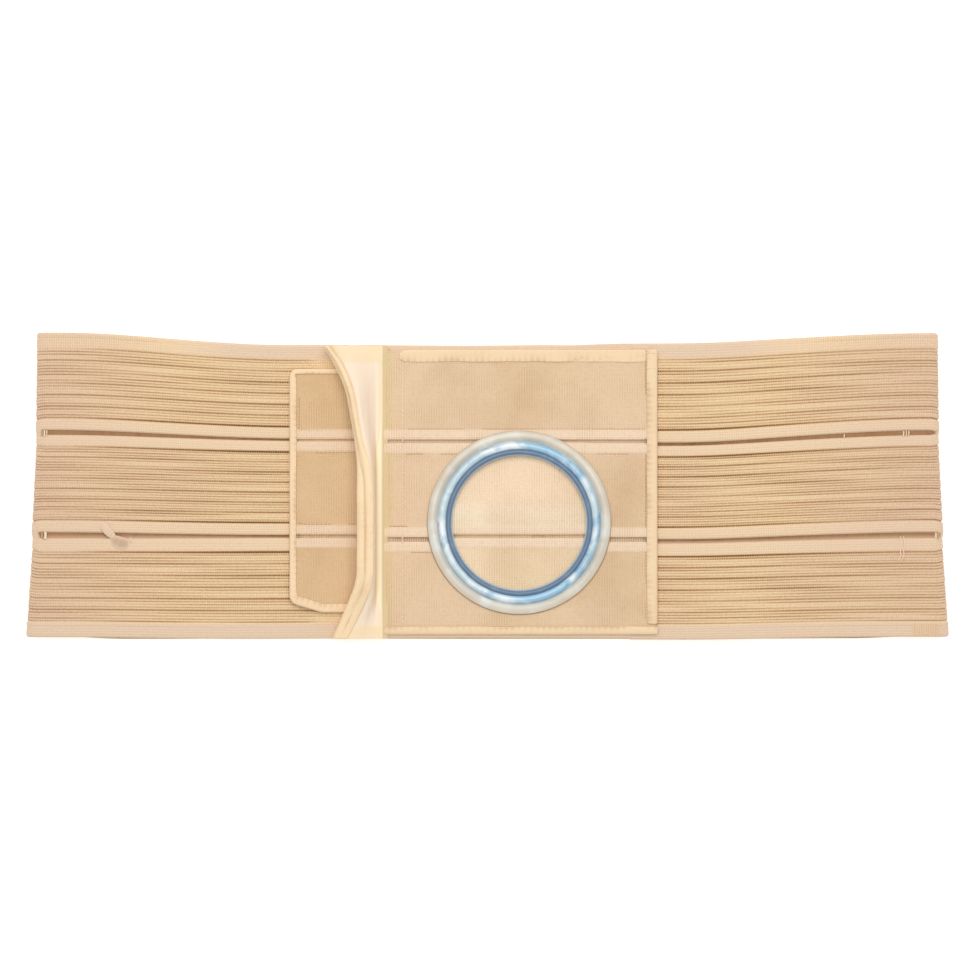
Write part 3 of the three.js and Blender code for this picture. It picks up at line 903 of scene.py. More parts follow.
def facing_vents(name, strips, level, material, opening=0.0, foot=0.0):
    """The cross yarns that show in the slits between three knit strips, broken off at the ring's opening."""
    bm = new_mesh()
    for above, below in zip(strips, strips[1:]):
        low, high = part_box(above)
        top = low.y + 0.0012
        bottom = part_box(below)[1].y - 0.0012
        start, end = low.x + 0.0010, high.x - 0.0010
        off = min(abs(top - RING_CENTRE.y), abs(bottom - RING_CENTRE.y))
        spans = [(start, end)]
        if off < opening:
            half = math.sqrt(opening * opening - off * off)
            spans = [(start, RING_CENTRE.x - half), (RING_CENTRE.x + half, end)]
        for left, right in spans:
            add_strip(bm, left, right, top, bottom, level, foot)
    finish_piece(name, bm, material)


def panel_corners():
    """The lower left and the upper right corner of the panel's knit."""
    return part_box("panel_lower")[0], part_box("panel_upper")[1]


def panel_hems(material):
    """The panel's backing, which shows past its tapes along the belt's upper and lower edge."""
    low, high = panel_corners()
    level = low.z - 0.0001
    columns = 90
    bm = new_mesh()

    def add_hem(inner, left, right):
        def sample(i, j):
            x = mix(low.x - 0.0002, FRONT_RIGHT_END + 0.0006, j / columns)
            outer = mix(left, right, ease(x, 0.03, 0.075)) + 0.0003 * ripple(x * 20, left, 6.0)
            y = mix(outer, inner, min(i, 17 - i) / 8)
            round_off = 0.0005 * max(0.0, 1 - abs(y - outer) / 0.0007) ** 2
            z = level - round_off + 0.00015 * ripple(x * 60, y * 60, 2.0)
            return (x, y, z if i < 9 else level - 0.0013), (x, y), -HEM

        add_tube(bm, 18, columns, sample)

    add_hem(high.y - 0.0010, 0.0728, 0.0742)
    add_hem(low.y + 0.0010, -0.0789, -0.0789)
    finish_piece("panel_hems", bm, material)


def lapped_hem(sizes, material):
    """The end of the lower hem, which is lapped over and sewn down beside the right fold."""
    band = BANDS[2]
    columns = 12

    def sample(i, j):
        x = mix(0.2207, 0.2345, j / columns)
        lower = i in (1, 2)
        depth = -0.0003 if i < 2 else 0.0004
        z = loop_point("front_right", 1.0, x, depth, sizes.fold_radius)[1]
        y = mix(*band_edges(band, "front_right", 1.0, x), 0.990 if lower else 0.872)
        return (x, y, z), (x, y), 0.16

    tube_piece("lapped_hem", 4, columns, sample, material)


# Knit facings of the tab and the panel


def tab_turn(x):
    """1 at the tab's left edge, 0 where its rounded corners end."""
    return 1 - math.sqrt(clamp((x - TAB_LEFT) / TAB_CORNER))


def tab_top(x):
    """The tab's upper edge, with its rounded corner."""
    return TAB_TOP - TAB_CORNER * tab_turn(x) ** 2


def tab_bottom(x):
    """The tab's lower edge, with its slanted and rounded corner."""
    cut_top = TAB_BOTTOM + TAB_CUT_HEIGHT
    slant = TAB_CUT_HEIGHT / TAB_CUT_LENGTH
    straight = max(TAB_BOTTOM, cut_top - slant * (x - TAB_LEFT))
    share = tab_turn(x)
    leave = cut_top - slant * TAB_CORNER
    slanted = leave * (1 - share) ** 2
    upright = (cut_top + TAB_CORNER) * share ** 2
    return slanted + 2 * cut_top * share * (1 - share) + upright if share > 0 else straight


def tab_edge(height):
    """The tab's bound edge from the lower right, round both left corners, to the upper right."""
    corner = [k / 8 for k in range(9)]
    below = [TAB_TAPE_END, TAB_LEFT + TAB_CUT_LENGTH] + [TAB_LEFT + TAB_CORNER * (1 - k) ** 2 for k in corner]
    above = [TAB_LEFT + TAB_CORNER * k * k for k in corner] + [TAB_TAPE_END]
    line = [Vector((x, tab_bottom(x), height)) for x in below]
    return line + [Vector((x, tab_top(x), height)) for x in above]


def tab_lift(x, y):
    """The tab's lower left corner curls up off the elastic."""
    return 0.0016 * bell(math.hypot(x - TAB_LEFT, y - TAB_BOTTOM), 0.024)


def tape_flush(point):
    """The panel's top tape sinks into the knit towards its right end."""
    return mix(0.4, 0.95, ease(point.x, 0.020, 0.072))


def tab_slim(point):
    """The tab's tape covers less of the upright edge, and least of the upper one."""
    return mix(mix(1.0, 0.75, ease(point.y, -0.060, -0.054)), 0.5, ease(point.y, 0.054, 0.0595))


def facing(node, sizes, material, slits, top=None, bottom=None, lift=None, hole=0.0, seam=None):
    """A strip of knit over a CAD strip. slits names the edges that border a slit, top and bottom give the
    outer edge at an x, hole is the radius of the ring's hole, and seam the x of an upright seam."""
    low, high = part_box(node)
    columns = round((high.x - low.x) / KNIT_CELL_X)
    rows = round((high.y - low.y) / KNIT_CELL_Y)

    def sample(i, j):
        x = mix(low.x, high.x, i / columns)
        upper = min(high.y, top(x)) if top else high.y
        lower = max(low.y, bottom(x)) if bottom else low.y
        y = mix(lower, upper, j / rows)
        z = high.z + 0.00022 * ripple(x * 30, y * 30, 1.7)
        mark = 0.0
        for edge, off in (("top", upper - y), ("bottom", y - lower)):
            if edge in slits:
                strip = 1 - ease(off, sizes.selvage_width - 0.0005, sizes.selvage_width + 0.0005)
                z += sizes.selvage_lift * strip - 0.0006 * (1 - ease(off, 0.0, 0.0009))
                mark = max(mark, strip)
        if seam is not None:
            z -= 0.0004 * bell(x - seam, 0.0007)
        if lift:
            z += lift(x, y)
        return (x, y, z), (x, y), mark

    bm = new_mesh()
    add_grid(bm, columns, rows, sample)
    if hole:
        inside = [face for face in bm.faces if (face.calc_center_median() - RING_CENTRE).xy.length < hole]
        bmesh.ops.delete(bm, geom=inside, context="FACES")
        for vert in bm.verts:
            off = (vert.co - RING_CENTRE).xy
            if vert.is_boundary and abs(off.length - hole) < 0.0015:
                vert.co.xy = RING_CENTRE.xy + off.normalized() * hole
    length = high.x - low.x
    width = high.y - low.y
    area = min(width * length, sum(face.calc_area() for face in bm.faces))
    bmesh.ops.solidify(bm, geom=bm.faces[:], thickness=high.z - low.z)
    piece = finish_piece(node + "_knit", bm, material, [node])


# Binding tapes


def tape_section(cloth, cover, wall, crown):
    """A tape folded over a cloth edge: how far out past the edge, how far above the cloth's mid-plane, and
    how much a stitch draws the point in."""
    half = cloth / 2
    inside = half + TAPE_ROOM
    outside = inside + wall
    nose = TAPE_ROOM + wall
    return [
        (-cover, inside, 0.0),
        (-cover - 0.0002, inside + 0.5 * wall, 0.6),
        (-cover + 0.0005, outside, 1.0),
        (-cover * 0.62, outside + crown, 0.5),
        (-cover * 0.28, outside + crown * 0.9, 0.2),
        (0.0, outside + crown * 0.3, 0.1),
        (nose * 0.8, mix(half, outside, 0.6), 0.1),
        (nose, 0.0, 0.1),
        (nose, -half, 0.0),
        (TAPE_ROOM, -half, 0.0),
        (TAPE_ROOM, inside, 0.0),
    ]


def way_along(points):
    """The length gone along a line at each of its points."""
    gone = [0.0]
    for before, after in zip(points, points[1:]):
        gone.append(gone[-1] + (after - before).length)
    return gone


def spaced(points, pitch):
    """Points at an even pitch along a line."""
    gone = way_along(points)
    count = max(1, round(gone[-1] / pitch))
    made = []
    leg = 0
    for k in range(count + 1):
        at = gone[-1] * k / count
        while leg < len(points) - 2 and gone[leg + 1] < at:
            leg += 1
        share = (at - gone[leg]) / (gone[leg + 1] - gone[leg])
        made.append(points[leg].lerp(points[leg + 1], share))
    return made


def bound_edge(name, node, sizes, material, line, cloth, cover, crown, lift=None, slim=None, flush=None):
    """A puckered tape along a line of points on the cloth's mid-plane, with the cloth on the line's right.
    lift raises it at a point, slim is the share of its cover that is kept at a point, and flush the share of
    its height that is lost there. A tape with a flush end starts with a round corner."""
    points = spaced(line, sizes.stitch_pitch / 2)
    gone = way_along(points)
    section = tape_section(cloth, cover, sizes.tape_thickness, crown)
    seed = line[0].x * 40

    def sample(i, j):
        before, after = neighbours(points, j)
        out = leftward((after - before).normalized())
        reach, height, drawn = section[i]
        if slim and reach < 0:
            reach *= slim(points[j])
        if flush:
            height = mix(height, min(height, cloth / 2 + 0.0002), flush(points[j]))
            short = max(0.0, 1 - (gone[j] + 0.0008) / cover)
            reach = (reach + cover / 2) * math.sqrt(1 - short * short) - cover / 2
        pull = drawn * (0.3 * (1 - math.cos(math.pi * j)) + 0.9 * ripple(gone[j] * 90, seed, 2.0))
        height -= sizes.tape_pucker * pull
        reach += sizes.tape_pucker * (pull + 1.8 * drawn * ripple(gone[j] * 60, seed, 9.0))
        place = points[j] + out * reach + Vector((0.0, 0.0, height))
        if lift:
            place.z += lift(place.x, place.y)
        # The pull also marks the tape for painted shade in its dimples
        return place, (gone[j], i * 0.0011), clamp(pull)

    rounded(tube_piece(name, len(section), len(points) - 1, sample, material, [node], 180))


# Closure flap


def flap_row(y):
    """The flap's sizes at one height, on a smooth curve through the rows of its table."""
    rows = FLAP_ROWS
    k = 1
    while k < len(rows) - 1 and rows[k][0] < y:
        k += 1
    before, after = rows[k - 1], rows[k]
    span = after[0] - before[0]
    share = (y - before[0]) / span

    def slope(at, column):
        left, right = neighbours(rows, at)
        return (right[column] - left[column]) / (right[0] - left[0]) * span

    values = []
    for column in range(1, len(before)):
        start, end = before[column], after[column]
        leave, arrive = slope(k - 1, column), slope(k, column)
        bend = share * share * (3 - 2 * share)
        ends = leave * share * (1 - share) ** 2 - arrive * share * share * (1 - share)
        values.append(mix(start, end, bend) + ends)
    return values


def flap_leaning(lean):
    """0 where the flap stands beside its welt, 1 where it leans well over."""
    return ease(lean, 0.0054, 0.012)


def flap_line(y, share):
    """A point of the flap's mid-line and the way along it there. The share is -0.5 at the edge of its foot
    on the panel, 0 at the fold, 0.3 behind the welt, 1 where the tape begins, 2 at the tape's crease and 3 at
    the free edge."""
    lean, rise, reach_in, drop_in, reach_out, drop_out = flap_row(y)
    taped = Vector((-lean, rise))
    first = Vector((-reach_in, -drop_in))
    second = Vector((-reach_out, -drop_out))
    fold = Vector((0.0004, 0.0013))
    if share > 2:
        return taped + first + second * (share - 2), second.normalized()
    if share > 1:
        turn = ease(share, 1.8, 2.0) * 0.5
        return taped + first * (share - 1), first.normalized().lerp(second.normalized(), turn).normalized()
    if share < 0:
        foot = Vector((0.0032, 0.0016))
        return fold.lerp(foot, share * -2), (fold - foot).normalized()
    leaning = flap_leaning(lean)
    back = Vector((-0.0033, mix(0.0012, 0.0024, leaning)))
    if share < 0.3:
        crest = Vector((-0.0015, mix(0.0040, 0.0026, leaning)))
        one = fold.lerp(crest, share / 0.3)
        two = crest.lerp(back, share / 0.3)
        return one.lerp(two, share / 0.3), (two - one).normalized()
    share = (share - 0.3) / 0.7
    stem = back + Vector(((back.x + lean) * -0.45 * leaning, rise * mix(0.55, 0.2, leaning)))
    arrive = taped - first.normalized() * (lean + back.x) * 0.35
    ahead = stem.lerp(arrive, share)
    one = back.lerp(stem, share).lerp(ahead, share)
    two = ahead.lerp(arrive.lerp(taped, share), share)
    return one.lerp(two, share), (two - one).normalized()


FLAP_BOTTOM = FLAP_ROWS[0][0]
FLAP_TOP = FLAP_ROWS[-1][0]
FLAP_CLOTH = 0.0012
FLAP_FOLD = Vector((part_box("flap")[1].x - FLAP_CLOTH / 2, 0.0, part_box("panel_upper")[0].z))


def flap_place(y, share, off):
    """A point at a distance off the flap's mid-line, on its face if that is above 0."""
    point, ahead = flap_line(y, share)
    return Vector((FLAP_FOLD.x + point.x + ahead.y * off, y, FLAP_FOLD.z + point.y - ahead.x * off))


def flap_cloth(material):
    shares = [k / 12 - 0.5 for k in range(6)]
    shares += [k / 40 for k in range(41)]
    shares += [1 + k / 5 for k in range(1, 11)]
    steps = 120

    def sample(i, j):
        face = i < len(shares)
        share = shares[i] if face else shares[2 * len(shares) - 1 - i]
        y = mix(FLAP_BOTTOM, FLAP_TOP, j / steps)
        lean = flap_row(y)[0]
        leaning = flap_leaning(lean)
        hem = ease(y, 0.0640, 0.0648) + 1 - ease(y, -0.0722, -0.0714)
        flat = mix(0.06, 1.0, ease(share, -0.45, 0.0))
        off = FLAP_CLOTH / 2 * flat + 0.0003 * hem * flat if face else -FLAP_CLOTH / 2 * flat
        off += 0.0004 * ripple(y * 26, share * 2.2, 5.0) * clamp(share * 3)
        off += 0.0003 * ripple(y * 70, share * 5.0, 1.0) * ease(share, 0.3, 0.6)
        # The welt's mark paints a highlight on it, and the mark below 0 paints shade behind it
        welt = 1 - ease(share, mix(0.24, 0.06, leaning), mix(0.32, 0.14, leaning))
        behind = ease(share, 0.28, 0.36) * mix(1.0, 0.3, ease(share, 0.36, 0.95))
        behind *= 1 - ease(lean, 0.0042, 0.0100)
        mark = max(min(1.0, hem * 0.8), welt * 2.0)
        return flap_place(y, share, off), (y, share * 0.02), mark - behind if face else mark

    return tube_piece("flap_cloth", 2 * len(shares), steps, sample, material, ["flap"])


def flap_tape(sizes, material):
    """The tape on the flap's free edge: two plies creased lengthwise, as shares along the flap's mid-line
    past the cloth, distances off it, and how much the crease and the sewing draw the point in."""
    inside = FLAP_CLOTH / 2 + TAPE_ROOM
    outside = inside + sizes.tape_thickness
    section = [
        (1.02, inside, 0.0), (0.98, inside + 0.0005, 0.3), (1.10, outside + 0.0001, 0.3),
        (1.30, outside + 0.0004, 0.1), (1.55, outside + 0.0005, 0.1), (1.80, outside + 0.0001, 0.2),
        (1.94, outside, 1.0), (2.08, outside + 0.0001, 0.2), (2.30, outside + 0.0004, 0.1),
        (2.55, outside + 0.0004, 0.1), (2.85, outside, 0.2), (3.08, outside * 0.6, 0.2), (3.12, 0.0, 0.0),
        (3.08, -outside * 0.6, 0.0), (2.85, -outside, 0.0), (2.00, -outside, 0.0), (1.10, -outside, 0.0),
        (1.02, -inside, 0.0), (3.00, -inside, 0.0), (3.00, inside, 0.0),
    ]
    steps = 150

    def sample(i, j):
        share, off, drawn = section[i]
        y = mix(FLAP_BOTTOM, FLAP_TOP, j / steps)
        above_foot = ease(y, -0.0500, -0.0430)
        creased = above_foot * (1 - ease(y, 0.0060, 0.0160))
        pull = drawn * creased * 0.0007 if drawn == 1.0 else 0.0
        if 1.2 < share < 1.7 and off > 0:
            off += 0.0004 * ease(y, 0.0060, 0.0200)
        pull += sizes.tape_pucker * drawn * (1.0 + 1.8 * ripple(y * 120, share * 2, 3.0))
        pull += 0.0003 * ripple(y * 90 + share * 1.5, share * 1.2, 6.0) * (1 - above_foot)
        # The pull also marks the tape for painted shade in its crease and dimples
        mark = clamp(pull * 1400)
        off -= math.copysign(pull, off) if drawn else 0.0
        return flap_place(y, share, off), (y, i * 0.001), mark

    nodes = ["flap_binding"]
    return rounded(tube_piece("flap_tape", len(section), steps, sample, material, nodes, 180))


# Pouch ring


def turned(profile, steps):
    """A closed profile of radii and heights turned round the ring's axis."""
    bm = new_mesh()
    verts = [bm.verts.new((RING_CENTRE.x + radius, RING_CENTRE.y, height)) for radius, height in profile]
    edges = [bm.edges.new((verts[k - 1], verts[k])) for k in range(len(verts))]
    whole_turn = {"cent": RING_CENTRE, "axis": (0.0, 0.0, 1.0), "angle": 2 * math.pi}
    bmesh.ops.spin(bm, geom=verts + edges, steps=steps, use_merge=True, **whole_turn)
    bmesh.ops.remove_doubles(bm, verts=bm.verts, dist=1e-7)
    return bm


def ring_flange(material):
    low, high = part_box("ring_flange")
    seat = low.z
    top = high.z
    bm = turned([
        (0.0379, seat + 0.0010), (0.0385, seat), (0.0415, seat), (0.0476, seat),
        (FLANGE_RADIUS, seat + 0.0003), (0.0474, seat + 0.0008), (0.0462, seat + 0.0013),
        (0.0446, seat + 0.0015), (0.0434, seat + 0.0012), (0.0427, seat + 0.0008), (0.0422, seat + 0.0009),
        (0.0418, seat + 0.0014), (0.0414, top - 0.0006), (0.0407, top - 0.0001), (0.0399, top),
        (0.0390, top - 0.0002), (0.0383, top - 0.0007), (0.0379, top - 0.0013),
    ], 160)
    mark = bm.verts.layers.float["mark"]
    for vert in bm.verts:
        off = (vert.co - RING_CENTRE).xy
        angle = math.atan2(off.y, off.x)
        nick = max(math.exp(-(((angle - at) / half) ** 4)) for at, half in RING_NICKS)
        raised = ease(vert.co.z, seat + 0.0003, top)
        bead = 1 - ease(abs(off.length - BEAD_RADIUS), 0.0012, 0.0018)
        # Marks the nicks on the bead for painted blue reflections
        vert[mark] = nick * bead
        vert.co.z -= 0.0006 * nick * raised
        vert.co.z += 0.00035 * raised * ripple(off.x * 70, off.y * 70, 3.0)
    finish_piece("ring_flange_clear", bm, material, ["ring_flange"])


def ring_rim(material):
    low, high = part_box("ring_rim")
    foot = low.z
    top = high.z
    bm = turned([
        (0.0348, foot), (0.0380, foot), (0.0380, top - 0.0014), (0.0377, top - 0.0006),
        (0.0371, top - 0.0001), (0.0364, top), (0.0359, top - 0.0004), (0.0356, top - 0.0012),
        (0.0352, top - 0.0012), (0.0348, top - 0.0016),
    ], 128)
    finish_piece("ring_rim_blue", bm, material, ["ring_rim"])


# Stitches and threads


def add_thread(bm, line, radius):
    """A thread along a line of points."""

    def sample(i, j):
        before, after = neighbours(line, j)
        ahead = after - before
        side = ahead.cross(Vector((0.0, 0.0, 1.0))).normalized()
        up = side.cross(ahead).normalized()
        turn = 2 * math.pi * i / THREAD_SIDES
        place = line[j] + (side * math.cos(turn) + up * math.sin(turn)) * radius
        return place, (j * 0.001, i * 0.0005), 0.0

    add_tube(bm, THREAD_SIDES, len(line) - 1, sample)


def add_stitches(bm, line, pitch, thickness):
    """Stitches along a line on a cloth: a thread that dips into the cloth at each end of a stitch."""
    points = spaced(line, pitch)
    ends = []
    for k, point in enumerate(points):
        before, after = neighbours(points, k)
        out = leftward((after - before).normalized())
        ends.append(point + out * (0.00012 * ripple(point.x * 300, point.y * 300, 2.0)))
    path = []
    for before, after in zip(ends, ends[1:]):
        for share, rise in ((0.0, -0.0008), (0.16, -0.0001), (0.5, 0.0001), (0.84, -0.0001)):
            path.append(before.lerp(after, share) + Vector((0.0, 0.0, rise)))
    add_thread(bm, path, thickness / 2)


def level_line(height, *points):
    return [Vector((x, y, height)) for x, y in points]


def sew_seam(sizes, material):
    """The panel's upright seam, and the sewn ends of its right tape."""
    bm = new_mesh()
    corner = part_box("panel_upper")[1]
    tape_level = corner.z + sizes.tape_thickness + 0.0005
    lines = [level_line(corner.z, (PANEL_SEAM, 0.0640), (PANEL_SEAM, -0.0715))]
    for y in (0.0690, 0.0610, -0.0690):
        lines.append(level_line(tape_level, (corner.x - 0.0046, y), (corner.x + 0.0004, y)))
    for line in lines:
        add_stitches(bm, line, 0.0022, sizes.stitch_thickness)
    finish_piece("seam_stitches", bm, material)


def sew_selvages(sizes, material):
    """Straight stitches along the selvages beside the slits and along two of the tapes, worn away in places
    and broken off at the ring, and the dark bars beside the folds."""
    bm = new_mesh()
    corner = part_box("panel_upper")[1]
    panel = corner.z
    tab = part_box("tab_upper")[1].z
    tab_rows = ((0.0291, -0.056), (0.0172, -0.056), (-0.0198, -0.056), (-0.0312, 0.055))
    rows = [(tab, (-0.0975, y), (end, y)) for y, end in tab_rows]
    rows.append((tab, (TAB_LEFT + 0.0041, 0.0550), (TAB_LEFT + 0.0041, -0.0550)))
    rows.append((panel, (corner.x - 0.0052, 0.0650), (corner.x - 0.0052, -0.0690)))
    for y in (0.0296, 0.0166, -0.0208, -0.0343):
        gap = math.sqrt(max(0.0, FLANGE_RADIUS ** 2 - (y - RING_CENTRE.y) ** 2))
        rows.append((panel, (-0.0510, y), (RING_CENTRE.x - gap, y)))
        rows.append((panel, (RING_CENTRE.x + gap, y), (0.0815, y)))
    for level, start, end in rows:
        line = spaced(level_line(level, start, end), 0.009)
        for near, far in zip(line, line[1:]):
            if ripple(near.x * 70, near.y * 300, 5.0) > -0.12:
                add_stitches(bm, [near, far], 0.0019, sizes.stitch_thickness * 0.75)
    level = 2 * sizes.fold_radius - 0.0002
    bars = ((-0.2311, -0.0242, -0.0270), (0.2338, -0.0240, -0.0272), (-0.2310, 0.0288, 0.0262))
    for x, top, bottom in bars:
        add_thread(bm, level_line(level, (x, top), (x, bottom)), 0.0006)
    finish_piece("selvage_stitches", bm, material)


def slit_bars(sizes, material):
    """The short bars of thread that close each slit of the front beside the folds, and a few loose bridges:
    the x, top, bottom and thickness of each, and two strands that hang loose."""
    level = 2 * sizes.fold_radius + 0.0002
    bars = [
        (-0.2298, 0.0290, 0.0258, 0.0010), (-0.2286, 0.0289, 0.0260, 0.0007),
        (-0.2293, -0.0237, -0.0275, 0.0016), (0.2327, -0.0236, -0.0277, 0.0014),
        (-0.1849, -0.0268, -0.0290, 0.0009), (0.1850, 0.0270, 0.0250, 0.0006),
        (0.2158, 0.0285, 0.0258, 0.0008), (0.2172, 0.0287, 0.0260, 0.0006), (0.2185, 0.0286, 0.0262, 0.0007),
    ]
    strand = [(0.0, -0.0262), (0.0005, -0.0300), (0.0, -0.0335), (0.0002, -0.0365), (-0.0014, -0.0388)]
    bm = new_mesh()
    for x, top, bottom, thickness in bars:
        rise = level - 0.0055 * max(0.0, (abs(x) - 0.2295) / sizes.fold_radius) ** 2
        line = []
        for k in range(5):
            sway = 0.0002 * ripple(k, x * 90, 3.0)
            line.append(Vector((x + sway, mix(top, bottom, k / 4), rise)))
        add_thread(bm, line, thickness / 2)
    for x in (0.2142, 0.2158):
        add_thread(bm, level_line(level - 0.0001, *[(x + off, y) for off, y in strand]), 0.0003)
    finish_piece("slit_bars", bm, material)


def selvage_snag(sizes, material):
    """A selvage that is pulled across the lower left slit and twisted: the x, y and height of each point of
    its two folds, and the share of their width there."""
    level = 2 * sizes.fold_radius - 0.0007
    twist = [
        (-0.2006, -0.0184, 0.0, 0.3), (-0.1999, -0.0194, 0.0004, 0.8), (-0.1990, -0.0206, 0.0007, 1.0),
        (-0.1979, -0.0221, 0.0010, 1.0), (-0.1967, -0.0236, 0.0010, 1.0), (-0.1954, -0.0250, 0.0006, 0.9),
        (-0.1941, -0.0262, 0.0002, 0.7), (-0.1931, -0.0271, 0.0, 0.3),
    ]
    puff = [
        (-0.1956, -0.0268, 0.0, 0.3), (-0.1946, -0.0274, 0.0003, 0.7), (-0.1930, -0.0285, 0.0004, 0.9),
        (-0.1909, -0.0296, 0.0004, 1.0), (-0.1888, -0.0300, 0.0002, 1.0), (-0.1868, -0.0300, 0.0001, 0.8),
        (-0.1856, -0.0298, 0.0, 0.3),
    ]
    sides = 10
    bm = new_mesh()

    def add_fold(points, half_width, height, mark):
        def sample(i, j):
            x, y, z, share = points[j]
            before, after = neighbours(points, j)
            ahead = Vector((after[0] - before[0], after[1] - before[1], 0.0)).normalized()
            turn = 2 * math.pi * i / sides
            side = leftward(ahead) * math.cos(turn) * half_width * share
            place = Vector((x, y, level + z + math.sin(turn) * height * share)) + side
            return place, (y, x), mix(1.0, mark, math.sin(turn) ** 2 * ease(share, 0.3, 0.9))

        add_tube(bm, sides, len(points) - 1, sample)

    add_fold(twist, half_width=0.0025, height=0.0007, mark=1.0)
    add_fold(puff, half_width=0.0036, height=0.0003, mark=0.5)
    rounded(finish_piece("selvage_snag", bm, material, crease=180))


# Stage


def make_stage(stage, colours):
    bm = bmesh.new()
    bmesh.ops.create_grid(bm, x_segments=1, y_segments=1, size=2.0)
    mesh = bpy.data.meshes.new("stage_floor")
    bm.to_mesh(mesh)
    bm.free()
    mesh.materials.append(floor_material(colours))
    floor = bpy.data.objects.new("stage_floor", mesh)
    bpy.context.collection.objects.link(floor)

    scene = bpy.context.scene
    scene.view_settings.view_transform = "Standard"
    world = bpy.data.worlds.new("studio")
    world.use_nodes = True
    sky = world.node_tree.nodes["Background"]
    sky.inputs["Color"].default_value = (1.0, 1.0, 1.0, 1.0)
    sky.inputs["Strength"].default_value = stage.sky
    scene.world = world

    lamp = bpy.data.lights.new("key", "AREA")
    lamp.shape = "RECTANGLE"
    lamp.size = KEY_SIZE
    lamp.size_y = KEY_SIZE
    lamp.energy = stage.key
    key = bpy.data.objects.new("key", lamp)
    key.location = KEY_PLACE
    key.rotation_euler = (-key.location).to_track_quat("-Z", "Y").to_euler()
    bpy.context.collection.objects.link(key)

    lens = bpy.data.cameras.new("camera")
    lens.lens = stage.lens
    camera = bpy.data.objects.new("camera", lens)
    camera.location = (0.0, CAMERA_Y, CAMERA_LEVEL + stage.field * stage.lens / lens.sensor_width)
    bpy.context.collection.objects.link(camera)
    scene.camera = camera


# Operators


class BELT_OT_stage(bpy.types.Operator):
    """Lay the floor, light it and set the camera above it"""

    bl_idname = "belt.stage"
    bl_label = "Stage"

    def execute(self, context):
        belt = context.scene.support_belt
        make_stage(belt.stage, belt.colours)
        return {"FINISHED"}


class BELT_OT_elastic(bpy.types.Operator):
    """Weave the three ribbed elastic bands round the loop"""

    bl_idname = "belt.elastic"
    bl_label = "Elastic bands"

    def execute(self, context):
        belt = context.scene.support_belt
        material = elastic_material(belt.colours)
        for band in BANDS:
            elastic_band(band, belt.sizes, material)
        panel_hems(material)
        lapped_hem(belt.sizes, material)
        # The elastic's slit yarns take painted shade: a dark colour, and darker still beside the closure
        yarns = vent_material("elastic_vents", belt.colours.vent_shade[:], belt.colours, depth=0.4)
        selvage_snag(belt.sizes, yarns)
        vent_yarns("vent_yarns_upper", BANDS[0], BANDS[1], belt.sizes, yarns)
        vent_yarns("vent_yarns_lower", BANDS[1], BANDS[2], belt.sizes, yarns)
        return {"FINISHED"}


class BELT_OT_tab(bpy.types.Operator):
    """Lay the closure tab's knit strips and bind their edge"""

    bl_idname = "belt.tab"
    bl_label = "Closure tab"

    def execute(self, context):
        belt = context.scene.support_belt
        sizes = belt.sizes
        colours = belt.colours
        shades = (colours.knit[:], colours.knit_pale[:])
        knit = knit_material("tab_knit", colours, *shades, change=-0.045, width=0.02, roll=TAB_ROLL)
        tape = tape_material("tab_binding_tape", colours.tab_tape[:], colours)
        facing("tab_upper", sizes, knit, ["bottom"], top=tab_top)
        facing("tab_middle", sizes, knit, ["top", "bottom"])
        facing("tab_lower", sizes, knit, ["top"], bottom=tab_bottom, lift=tab_lift)
        low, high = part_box("tab_upper")
        yarns = vent_material("tab_vents", colours.facing_vent[:], colours)
        facing_vents("tab_vent_yarns", ["tab_upper", "tab_middle", "tab_lower"], low.z - 0.00012, yarns)
        edge = tab_edge((low.z + high.z) / 2)
        looks = {"cover": 0.0036, "crown": 0.0, "lift": tab_lift, "slim": tab_slim}
        bound_edge("tab_tape", "tab_binding", sizes, tape, edge, high.z - low.z, **looks)
        return {"FINISHED"}


class BELT_OT_panel(bpy.types.Operator):
    """Lay the front panel's knit strips, cut for the ring, and bind their edges"""

    bl_idname = "belt.panel"
    bl_label = "Front panel"

    def execute(self, context):
        belt = context.scene.support_belt
        sizes = belt.sizes
        colours = belt.colours
        # Left of x = -0.05 the panel's knit takes painted shade from the standing flap
        shades = (colours.shaded_tape[:], colours.knit_panel[:])
        knit = knit_material("panel_knit", colours, *shades, change=-0.0500, width=0.003)
        tape = tape_material("panel_binding_tape", colours.panel_tape[:], colours)
        low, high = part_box("ring_rim")
        hole = (high.x - low.x) / 2 + 0.0003
        for strip, slits in (("upper", ["bottom"]), ("middle", ["top", "bottom"]), ("lower", ["top"])):
            facing(f"panel_{strip}", sizes, knit, slits, hole=hole, seam=PANEL_SEAM)
        low, high = panel_corners()
        strips = ["panel_upper", "panel_middle", "panel_lower"]
        # The panel's slits: painted shade between the ladder's rungs, and painted light on their lower edge
        yarns = vent_material("panel_vents", colours.facing_vent[:], colours, ladder=0.9)
        facing_vents("panel_vent_yarns", strips, low.z - 0.00014, yarns, opening=YARN_BREAK, foot=0.9)
        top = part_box("panel_top_binding")
        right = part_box("panel_right_binding")
        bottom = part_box("panel_bottom_binding")
        edges = [
            ("top", (top[0].x - 0.0024, high.y), (top[1].x, high.y), 0.0053, 0.0, tape_flush),
            ("right", (high.x, right[1].y), (high.x, right[0].y), 0.0046, 0.0003, None),
            ("bottom", (bottom[1].x, low.y), (bottom[0].x, low.y), 0.0032, 0.0003, None),
        ]
        cloth = high.z - low.z
        for side, start, end, cover, crown, flush in edges:
            names = (f"panel_{side}_tape", f"panel_{side}_binding")
            line = level_line((low.z + high.z) / 2, start, end)
            bound_edge(*names, sizes, tape, line, cloth, cover, crown, flush=flush)
        return {"FINISHED"}


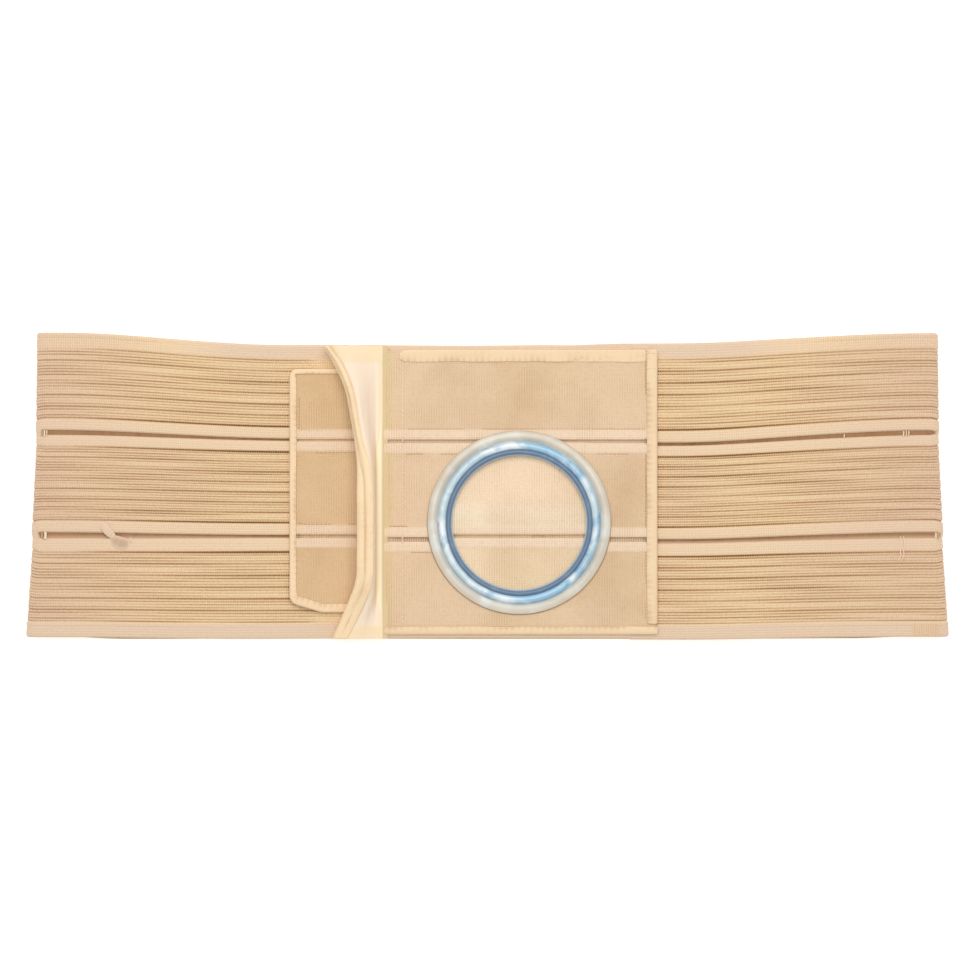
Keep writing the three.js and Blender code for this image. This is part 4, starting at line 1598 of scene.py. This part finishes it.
class BELT_OT_flap(bpy.types.Operator):
    """Stand the closure flap on its fold and bind its free edge"""

    bl_idname = "belt.flap"
    bl_label = "Closure flap"

    def execute(self, context):
        belt = context.scene.support_belt
        colours = belt.colours
        tape = flap_tape(belt.sizes, tape_material("flap_binding_tape", colours.tape[:], colours))
        cloth = flap_cloth(lining_material(colours))
        return {"FINISHED"}


class BELT_OT_ring(bpy.types.Operator):
    """Turn the pouch ring's clear flange and blue rim"""

    bl_idname = "belt.ring"
    bl_label = "Pouch ring"

    def execute(self, context):
        colours = context.scene.support_belt.colours
        ring_flange(flange_material(colours))
        ring_rim(rim_material(colours))
        return {"FINISHED"}


class BELT_OT_stitches(bpy.types.Operator):
    """Sew the rows of stitches along the bound edges, the selvages and the panel's seam"""

    bl_idname = "belt.stitches"
    bl_label = "Stitches"

    def execute(self, context):
        belt = context.scene.support_belt
        colours = belt.colours
        thread = thread_material("sewing_thread", colours.thread[:], colours)
        sew_seam(belt.sizes, thread)
        slit_bars(belt.sizes, thread)
        sew_selvages(belt.sizes, thread_material("selvage_thread", colours.shade_thread[:], colours))
        return {"FINISHED"}


class BELT_PT_sidebar(bpy.types.Panel):
    """The belt's steps and settings in the sidebar"""

    bl_idname = "BELT_PT_sidebar"
    bl_label = "Ostomy Support Belt"
    bl_space_type = "VIEW_3D"
    bl_region_type = "UI"
    bl_category = "Belt"

    def draw(self, context):
        belt = context.scene.support_belt
        for operator in OPERATORS:
            self.layout.operator(operator.bl_idname)
        for group in (belt.sizes, belt.colours, belt.stage):
            box = self.layout.box()
            for name in group.bl_rna.properties.keys():
                if name not in {"rna_type", "name"}:
                    box.prop(group, name)


OPERATORS = [
    BELT_OT_stage, BELT_OT_elastic, BELT_OT_tab, BELT_OT_panel, BELT_OT_flap, BELT_OT_ring, BELT_OT_stitches,
]
CLASSES = [BeltSizes, BeltColours, BeltStage, BeltSettings, *OPERATORS, BELT_PT_sidebar]


def register():
    for cls in CLASSES:
        bpy.utils.register_class(cls)
    bpy.types.Scene.support_belt = PointerProperty(type=BeltSettings)


def unregister():
    del bpy.types.Scene.support_belt
    for cls in reversed(CLASSES):
        bpy.utils.unregister_class(cls)


def main():
    register()
    bpy.ops.belt.stage()
    bpy.ops.belt.elastic()
    bpy.ops.belt.tab()
    bpy.ops.belt.panel()
    bpy.ops.belt.flap()
    bpy.ops.belt.ring()
    bpy.ops.belt.stitches()
    bpy.context.view_layer.update()


if __name__ == "__main__":
    main()
